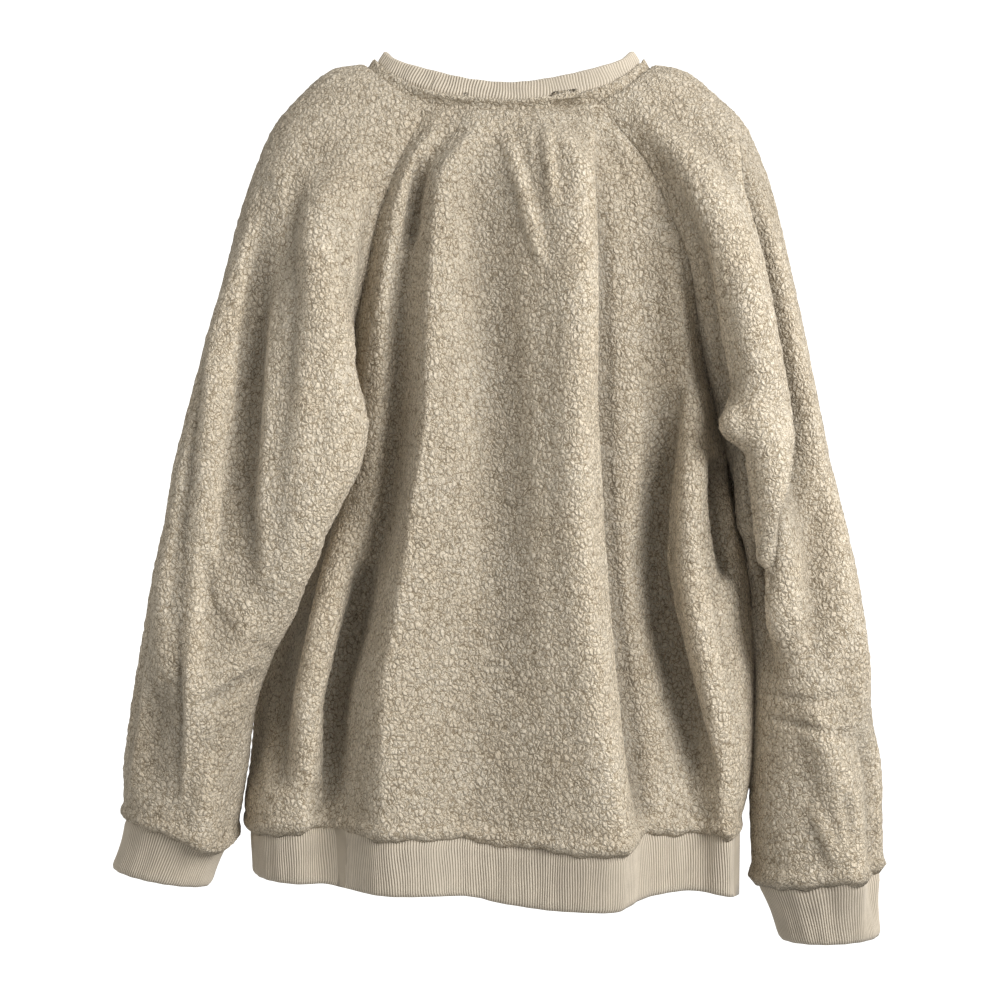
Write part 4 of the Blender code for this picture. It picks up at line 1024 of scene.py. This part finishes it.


# The back: sherpa fleece, cut in one broad panel with slanting armholes, sewn to the sleeves and
# at the sides. Its creases are placed one by one. Each has the side it lies over, its path of x and
# z, its height (a trough when negative) and its reach to the wearer's left and right.
OVER_BACK = True
BACK_CREASES = {
    "between the two upper left ridges": (OVER_BACK, [(66, -82), (73, -120), (78, -158)], -5, 8, 8),
    "right roll": (OVER_BACK, [(-61, -58), (-63, -160), (-61, -274), (-65, -350), (-72, -442),
        (-82, -533), (-90, -597)], 6, 36, 5),
    "hollow beside the right roll": (OVER_BACK, [(-69, -59), (-72, -160), (-71, -274), (-74, -350),
        (-81, -442), (-91, -533), (-100, -598)], -10, 5, 30),
    "small ridge beside the right roll": (OVER_BACK, [(3, -62), (-12, -115), (-27, -176)], 5, 10, 9),
    "short ridge under the neck": (OVER_BACK, [(-29, -59), (-36, -129)], 4, 9, 6),
    "hollow down the middle": (OVER_BACK, [(23, -67), (15, -159), (7, -312), (0, -503)], -5, 30, 30),
    "trough beside the right fold": (OVER_BACK, [(-132, -261), (-125, -308), (-119, -354),
        (-117, -397), (-123, -437), (-134, -482), (-146, -525), (-160, -575)], -9, 26, 8),
    "right fold": (OVER_BACK, [(-146, -258), (-143, -309), (-139, -353), (-139, -404),
        (-146, -450), (-156, -496), (-165, -550)], 8, 13, 16),
    "trough inside the right fold": (OVER_BACK, [(-162, -315), (-164, -358), (-170, -413)], -13, 12, 10),
    "trough right of the left fold": (OVER_BACK, [(114, -397), (119, -427), (127, -458),
        (137, -489), (141, -520), (140, -551), (140, -586)], -8, 7, 20),
    "left fold": (OVER_BACK, [(118, -327), (126, -366), (142, -443), (155, -504),
        (155, -573)], 11, 14, 13),
    "far left trough": (OVER_BACK, [(170, -466), (179, -521), (177, -575)], -6, 14, 12),
    "short crease under the neck": (OVER_BACK, [(42, -66), (15, -68), (-12, -67)], -1.6, 4, 4),
    "second short crease": (OVER_BACK, [(32, -74), (7, -76), (-8, -74)], -1.2, 4, 4)}
# Places where the cloth bulges or hangs further than its smooth form: centre, reach and move
NECK_CORNER = ((-44, 34, -46), (20, 50, 14), (0, -4, 1))
RIGHT_ARMHOLE = ((-146, 40, -165), (36, 60, 95), (0, 10, 0))
BACK_PULLS = {
    "under the right arm": ((-170, 30, -352), (34, 40, 34), (-6, 0, 0)),
    "neck corner": NECK_CORNER,
    "along the right armhole": RIGHT_ARMHOLE}
fleece_piece("back", BACK_CREASES, BACK_PULLS, 3)


# The front: the same cloth and cut as the back, with a lower neck. It is sewn to the sleeves and
# to the back at the sides, and hangs in soft folds of the same kind.
OVER_FRONT = False
FRONT_CREASES = {
    "left trough": (OVER_FRONT, [(84, -130), (78, -300), (92, -450), (108, -590)], -7, 18, 10),
    "left roll": (OVER_FRONT, [(48, -140), (46, -320), (60, -480), (64, -600)], 5, 20, 20),
    "middle hollow": (OVER_FRONT, [(-4, -150), (-8, -330), (4, -500), (10, -600)], -5, 30, 30),
    "right roll": (OVER_FRONT, [(-56, -140), (-58, -320), (-48, -480), (-46, -600)], 5, 22, 18),
    "right trough": (OVER_FRONT, [(-84, -130), (-98, -300), (-92, -450), (-90, -590)], -8, 10, 22),
    "short crease under the neck": (OVER_FRONT, [(-40, -134), (-5, -142), (34, -133)], -1.6, 4, 4)}
FRONT_PULLS = {"behind the right arm": ((-160, -22, -346), (26, 26, 76), (-25, 6, 0))}
fleece_piece("front", FRONT_CREASES, FRONT_PULLS, 3)


# The left sleeve: one piece of sherpa fleece, gathered into its cuff. It bends at the elbow, and
# its lower end hangs over the cuff in a lobe.
LEFT_CREASES = {
    "ridge down the upper arm": (OVER_BACK, [(153, -84), (147, -175), (151, -275),
        (158, -365)], 8, 16, 30),
    "inner roll": (OVER_BACK, [(143, -152), (133, -198), (125, -244), (115, -289), (123, -324),
        (148, -373), (161, -427), (184, -465)], 9, 26, 11),
    "long valley": (OVER_BACK, [(185, -96), (196, -223), (200, -350), (194, -411),
        (179, -438)], -9, 15, 15),
    "middle ridge": (OVER_BACK, [(219, -224), (227, -305), (229, -375), (215, -426),
        (194, -456)], 6, 12, 17),
    "edge of the inner layer": (OVER_BACK, [(228, -228), (232, -293), (237, -367), (240, -469),
        (244, -528), (250, -589)], 4, 4, 34),
    "hollow beside the inner layer": (OVER_BACK, [(233, -228), (237, -293), (242, -367),
        (246, -469), (249, -528), (256, -590)], -7, 34, 5),
    "crease in the elbow": (OVER_BACK, [(191, -480), (216, -497), (235, -505)], -4, 8, 12),
    "lobe above the cuff": (OVER_BACK, [(230, -540), (233, -582), (238, -621)], 5, 14, 16),
    "front ridge": (OVER_FRONT, [(196, -120), (214, -250), (240, -400), (262, -520)], 6, 16, 18),
    "front trough": (OVER_FRONT, [(168, -150), (184, -280), (206, -410), (232, -530)], -6, 14, 14),
    "front elbow crease": (OVER_FRONT, [(196, -430), (224, -446), (262, -440)], -3, 8, 10)}
LEFT_PULLS = {
    "corner above the elbow": ((126, 70, -303), (46, 60, 62), (-15, 0, -3)),
    "lobe hanging over the cuff": ((232, 46, -612), (40, 44, 46), (0, 4, -10)),
    "loose cloth below it": ((150, 84, -480), (40, 60, 70), (5, 0, 0))}
fleece_piece("sleeve_left", LEFT_CREASES, LEFT_PULLS, 4)


# The right sleeve: the same piece mirrored. It hangs nearly straight, with a fold and a flap of
# loose cloth under the arm.
RIGHT_CREASES = {
    "edge of the outer fold": (OVER_BACK, [(-175, -61), (-178, -108), (-183, -148), (-191, -213),
        (-198, -250), (-206, -284), (-207, -307), (-204, -342),
        (-197, -376), (-188, -408), (-179, -438)], 11, 34, 3.5),
    "hollow beside the outer fold": (OVER_BACK, [(-180, -60), (-183, -107), (-188, -147),
        (-196, -213), (-203, -249), (-211, -284), (-212, -307), (-209, -342),
        (-202, -376), (-193, -408), (-184, -438)], -13, 3.5, 28),
    "underarm fold": (OVER_BACK, [(-154, -297), (-172, -289), (-193, -283)], 5, 12, 12),
    "wrinkle across the forearm": (OVER_BACK, [(-197, -517), (-224, -523), (-270, -532)], -2.4, 5, 7),
    "second wrinkle": (OVER_BACK, [(-195, -498), (-224, -503), (-259, -497)], -1.8, 6, 6),
    "ridge at the cuff": (OVER_BACK, [(-232, -582), (-242, -605), (-252, -629)], 4, 9, 9),
    "dimple at the cuff": (OVER_BACK, [(-257, -573), (-262, -594), (-265, -617)], -4, 9, 9),
    "front ridge": (OVER_FRONT, [(-190, -120), (-208, -250), (-228, -400), (-250, -540)], 6, 18, 16),
    "front trough": (OVER_FRONT, [(-162, -150), (-176, -290), (-204, -430), (-222, -560)], -6, 14, 14),
    "front elbow crease": (OVER_FRONT, [(-208, -452), (-236, -464), (-268, -456)], -3, 8, 10)}
RIGHT_PULLS = {
    "neck corner": NECK_CORNER,
    "along the armhole": RIGHT_ARMHOLE,
    "fold under the arm": ((-180, 74, -288), (30, 44, 30), (15, 5, -9)),
    "flap under the arm": ((-196, 82, -345), (34, 30, 75), (-2, 9, 0)),
    "lit roll down the arm": ((-188, 80, -215), (22, 40, 120), (-2, 6, 0)),
    "inside of the flap": ((-184, 36, -350), (24, 30, 60), (6, 0, 0)),
    "hollow outside the flap": ((-238, 70, -380), (26, 44, 120), (3, -8, 0))}
fleece_piece("sleeve_right", RIGHT_CREASES, RIGHT_PULLS, 4)


# The hem band: a wide tube of rib knit, its ribs about 2 mm apart, sewn under the fleece's lower
# edge and turned over at its own. It draws in a little, so its folds die away toward the bottom.
# Each point carries rib, which is 0 down between the ribs and 1 on a rib, and sets the painted
# shade between the ribs.
def rib_material():
    """Rib knit: pale ribs with painted shade between them, and fine stitches."""
    material, tree, shader = painted("rib_knit", {
        "Roughness": 0.9, "Specular IOR Level": 0.2, "Sheen Weight": 0.2, "Sheen Roughness": 0.5})
    link = tree.links.new
    spot = node(tree, "ShaderNodeTexCoord").outputs["Object"]
    # Painted shade: dark down between the ribs, pale on them
    ramp = node(tree, "ShaderNodeValToRGB")
    ramp.color_ramp.elements[0].color = (0.29, 0.24, 0.17, 1.0)
    ramp.color_ramp.elements[1].color = (0.80, 0.71, 0.58, 1.0)
    link(node(tree, "ShaderNodeAttribute", attribute_name="rib").outputs["Fac"], ramp.inputs["Fac"])
    uneven = node(tree, "ShaderNodeMixRGB", blend_type="MULTIPLY", Fac=0.3)
    link(ramp.outputs["Color"], uneven.inputs["Color1"])
    link(noise(tree, spot, 55.0, 4.0, 0.6).outputs["Fac"], uneven.inputs["Color2"])
    link(uneven.outputs["Color"], shader.inputs["Base Color"])
    bump = node(tree, "ShaderNodeBump", Strength=0.6, Distance=0.0003)
    link(noise(tree, spot, 900.0, 2.0, 0.6).outputs["Fac"], bump.inputs["Height"])
    link(bump.outputs["Normal"], shader.inputs["Normal"])
    return material


rib_knit = rib_material()


def even_ring(ring, count):
    """Puts points evenly round a closed ring, on smooth curves through its own."""
    closed = np.concatenate([ring[-2:], ring, ring[:3]])
    smooth = finer(closed[:, None], 6, 1)[:, 0][12:-12]
    length = np.concatenate([[0], np.cumsum(np.linalg.norm(np.diff(smooth, axis=0), axis=1))])
    wanted = np.linspace(0, length[-1], count, endpoint=False)
    return np.stack([np.interp(wanted, length, smooth[:, k]) for k in range(3)], axis=1)


def tube_faces(rows, columns, start, inside):
    """Four-sided faces round a tube whose points are numbered row by row from start."""
    faces = []
    for i in range(rows - 1):
        a = np.arange(columns) + i * columns + start
        b = np.roll(a, -1)
        corners = [b, a, a + columns, b + columns] if inside else [a, b, b + columns, a + columns]
        faces += np.stack(corners, axis=1).tolist()
    return faces


# Points across one rib, how far the band lies inside the fleece's surface, how thick it is, and
# the shares of its height that are tucked under the fleece and turned over at the free edge
RIB_POINTS = 6
BAND_INSET = 1.5
RIB_WALL = 3.0
TUCKED = 0.18
TURNED = 0.1


def rib_band(name, node_name, rings, outs, ribs, rows, rib_height):
    """A band of ribs through rings from the seam to the free edge, with a plain inside."""
    count = ribs * RIB_POINTS
    between = finer(np.array([even_ring(ring, count) for ring in rings]), rows, 1)
    ways = unit(finer(np.array([even_ring(out, count) for out in outs]), rows, 1))
    total = len(between)
    share = np.linspace(0, 1, total)[:, None]
    around = np.arange(count)[None] / RIB_POINTS
    wander = 0.18 * np.sin(share * 5 + around * 0.37) + 0.12 * np.sin(around * 0.11 + 2.0)
    rib = np.abs(np.cos(np.pi * (around + wander))) ** 1.1
    turned = np.clip((share - (1 - TURNED)) / TURNED, 0, 1)
    tucked = np.clip((TUCKED - share) / TUCKED, 0, 1)
    rise = rib_height * rib * (1 - 0.7 * turned) - BAND_INSET + 0.3 * np.sin(around * 0.83 + 1.0)
    rise = rise - 1.3 * round_over(turned) - 2.2 * tucked
    outer = between + ways * rise[..., None]
    inner = between[::rows, ::RIB_POINTS] - ways[::rows, ::RIB_POINTS] * (BAND_INSET + RIB_WALL)
    in_rows, in_columns = inner.shape[:2]
    points = np.concatenate([outer.reshape(-1, 3), inner.reshape(-1, 3)])
    start = total * count
    faces = tube_faces(total, count, 0, False) + tube_faces(in_rows, in_columns, start, True)
    marks = list(range(0, count, RIB_POINTS))
    faces += stitch(list(range(count)), list(range(start, start + in_columns)), marks)
    last = (total - 1) * count
    in_last = start + (in_rows - 1) * in_columns
    lower = stitch(list(range(last, last + count)), list(range(in_last, in_last + in_columns)), marks)
    faces += [face[::-1] for face in lower]
    corners = [points[spot] for spot in faces[0]]
    if np.dot(np.cross(corners[1] - corners[0], corners[2] - corners[1]), even_ring(outs[0], count)[0]) < 0:
        faces = [face[::-1] for face in faces]
    # The ribs' painted shade for the colour, and a plain middle tone on the inside
    shade = np.concatenate([rib.ravel(), np.full(in_rows * in_columns, 0.4)])
    piece = make_piece(name, points, faces, rib_knit, {"rib": shade})
    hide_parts(node_name)


def evened(ring, times, own):
    """Draws each point of a closed ring to its two neighbours; own is its own part beside theirs."""
    for _ in range(times):
        ring = (np.roll(ring, 1, axis=0) + ring * own + np.roll(ring, -1, axis=0)) / (2 + own)
    return ring


# How many times the hem's free edge is rounded, and the share of its folds that is left there
HEM_ROUNDING = 14
HEM_FOLDS_KEPT = 0.62
hem_ids = closed_edge([index["back"][-1], index["front"][-1][::-1]])
hem_seam = place[hem_ids]
hem_out = seam_normal[hem_ids] * (1, 1, 0)
hem_out /= np.linalg.norm(hem_out, axis=1, keepdims=True)
hem_even = evened(hem_seam, HEM_ROUNDING, 0)
hem_soft = evened(hem_seam, 5, 2)
hem_edge = np.array([read(HEM_SEAM, "x", "edge_z", x) for x in hem_seam[:, 0]])
hem_rings = []
for share in (0.0, 0.25, 0.5, 0.75, 1.0):
    ring = hem_soft.copy()
    kept = 1 - (1 - HEM_FOLDS_KEPT) * ease(share)
    ring[:, :2] = hem_even[:, :2] + (hem_soft[:, :2] - hem_even[:, :2]) * kept
    ring[:, 2] = hem_seam[:, 2] * (1 - share) + hem_edge * share
    hem_rings.append(ring)
rib_band("hem_rib", "hem_band", hem_rings, [hem_out] * 5, 486, 4, 1.0)


# The neckband: a narrow tube of the same rib knit, sewn inside the fleece's top edge. It stands
# up, leans in to the neck and is lower at the two sides.
NECK_BAND_WIDTH = 20.0
NECK_BAND_CURL = 0.8
neck_ids, neck_up, neck_out = neck_directions(index, place)
neck_width = NECK_BAND_WIDTH * (1 - 0.4 * np.abs(place[neck_ids][:, :1] / NECK_HALF_WIDTH) ** 6)
neck_rings = [place[neck_ids] + neck_up * neck_width * share - neck_out * NECK_BAND_CURL * share * share
              for share in (0.0, 0.5, 1.0)]
rib_band("neck_rib", "neckband", neck_rings, [neck_out] * 3, 244, 6, 1.1)


# The cuffs: short tubes of rib knit, gathered onto the sleeves' ends, drawn in at their middle
# and narrower at the hand. Each ends in an oval with an outer and an inner point, a middle and a
# half depth.
CUFF = ("out_x", "out_z", "in_x", "in_z", "middle_y", "half_depth")
CUFF_ENDS = {
    "cuff_left": dict(zip(CUFF, (315, -640, 235, -655, 16, 34))),
    "cuff_right": dict(zip(CUFF, (-296, -695, -214, -699, 8, 35)))}
CUFF_WAIST = 0.05


def cuff(name, sleeve_name, arms):
    """One cuff, from its sleeve's last ring to the oval of its own free edge."""
    ids = index[sleeve_name][-1][:-1]
    seam = place[ids]
    middle = seam.mean(axis=0)
    way = middle - place[index[sleeve_name][-8][:-1]].mean(axis=0)
    way = way / np.linalg.norm(way)
    start = arms["seam_turn"][-1]
    end = CUFF_ENDS[name]
    out = np.array([end["out_x"], end["middle_y"], end["out_z"]], dtype=float)
    inner = np.array([end["in_x"], end["middle_y"], end["in_z"]], dtype=float)
    end_ring = np.array([ring_point((out + inner) / 2, (out - inner) / 2, end["half_depth"],
                                    start - 360 * j / len(ids), 0.0) for j in range(len(ids))])
    rings = []
    ways = []
    for share in (0.0, 0.25, 0.5, 0.75, 1.0):
        ring = seam * (1 - share) + end_ring * share
        pinch = middle + (end_ring.mean(axis=0) - middle) * share
        ring = pinch + (ring - pinch) * (1 - CUFF_WAIST * math.sin(math.pi * share))
        around = np.roll(ring, -1, axis=0) - np.roll(ring, 1, axis=0)
        flat = np.cross(around, way)
        flat *= np.sign(np.sum(flat * (ring - ring.mean(axis=0)), axis=1, keepdims=True))
        rings.append(ring)
        ways.append(flat / np.linalg.norm(flat, axis=1, keepdims=True))
    rib_band(name + "_rib", name, rings, ways, 122, 4, 0.9)


cuff("cuff_left", "sleeve_left", LEFT_ARM)
cuff("cuff_right", "sleeve_right", RIGHT_ARM)


# The camera: a metre and a half behind the garment and level with its middle, looking at its
# back through a long lens.
camera_data = bpy.data.cameras.new("camera")
camera_data.lens = 67.5
camera_data.sensor_width = 36.0
camera_data.clip_end = 20.0
camera = bpy.data.objects.new("camera", camera_data)
camera.location = (0.0072, 1.5, -0.3504)
camera.rotation_euler = (math.radians(90), 0, math.radians(180))
bpy.context.scene.collection.objects.link(camera)
bpy.context.scene.camera = camera


# The studio light: a large soft box high on the camera's right, a weak one on its left, one in
# front of the garment, and a light sky all round.


def soft_box(name, place, aim, size, power):
    """A square area light at a place, turned to its aim."""
    data = bpy.data.lights.new(name, "AREA")
    data.size = size
    data.energy = power
    lamp = bpy.data.objects.new(name, data)
    lamp.location = place
    way = Vector(aim) - Vector(place)
    lamp.rotation_euler = way.to_track_quat("-Z", "Y").to_euler()
    bpy.context.scene.collection.objects.link(lamp)


GARMENT_MIDDLE = (0.0, 0.0, -0.35)
soft_box("soft_box_right", (-1.3, 1.32, 0.4), GARMENT_MIDDLE, 1.0, 43.0)
soft_box("soft_box_left", (1.9, 1.3, 0.1), GARMENT_MIDDLE, 1.4, 4.0)
soft_box("soft_box_front", (0.4, -2.0, 0.4), GARMENT_MIDDLE, 1.4, 9.0)

sky = bpy.data.worlds.new("studio")
sky.use_nodes = True
sky_light = sky.node_tree.nodes["Background"]
sky_light.inputs["Color"].default_value = (1.0, 0.985, 0.96, 1.0)
sky_light.inputs["Strength"].default_value = 0.46
bpy.context.scene.world = sky
bpy.context.scene.view_settings.view_transform = "Standard"


# The floor: pale card far below the garment, which sweeps up all round into a pale wall. Each
# ring of it has a radius and a height above the floor.
FLOOR_HEIGHT = -1.35
FLOOR_SIDES = 64
FLOOR_RINGS = ((3.2, 0.0), (3.9, 0.12), (4.4, 0.5), (4.6, 1.1), (4.6, 4.5))
sweep = bmesh.new()
turns = [math.tau * k / FLOOR_SIDES for k in range(FLOOR_SIDES)]
rings = [[sweep.verts.new((0, 0, FLOOR_HEIGHT))] * FLOOR_SIDES]
for radius, height in FLOOR_RINGS:
    rings.append([sweep.verts.new((radius * math.cos(turn), radius * math.sin(turn), FLOOR_HEIGHT + height))
                  for turn in turns])
for lower, upper in zip(rings, rings[1:]):
    for k in range(FLOOR_SIDES):
        sweep.faces.new(list(dict.fromkeys([lower[k], lower[k - 1], upper[k - 1], upper[k]])))
floor_mesh = bpy.data.meshes.new("floor")
sweep.to_mesh(floor_mesh)
sweep.free()
floor_mesh.shade_smooth()
floor = bpy.data.objects.new("floor", floor_mesh)
bpy.context.scene.collection.objects.link(floor)
floor_paint = painted("floor_paint", {
    "Base Color": (0.92, 0.92, 0.92, 1.0), "Roughness": 0.9,
    "Emission Color": (1.0, 1.0, 1.0, 1.0), "Emission Strength": 0.8})[0]
floor_mesh.materials.append(floor_paint)
floor.visible_diffuse = False
floor.visible_glossy = False
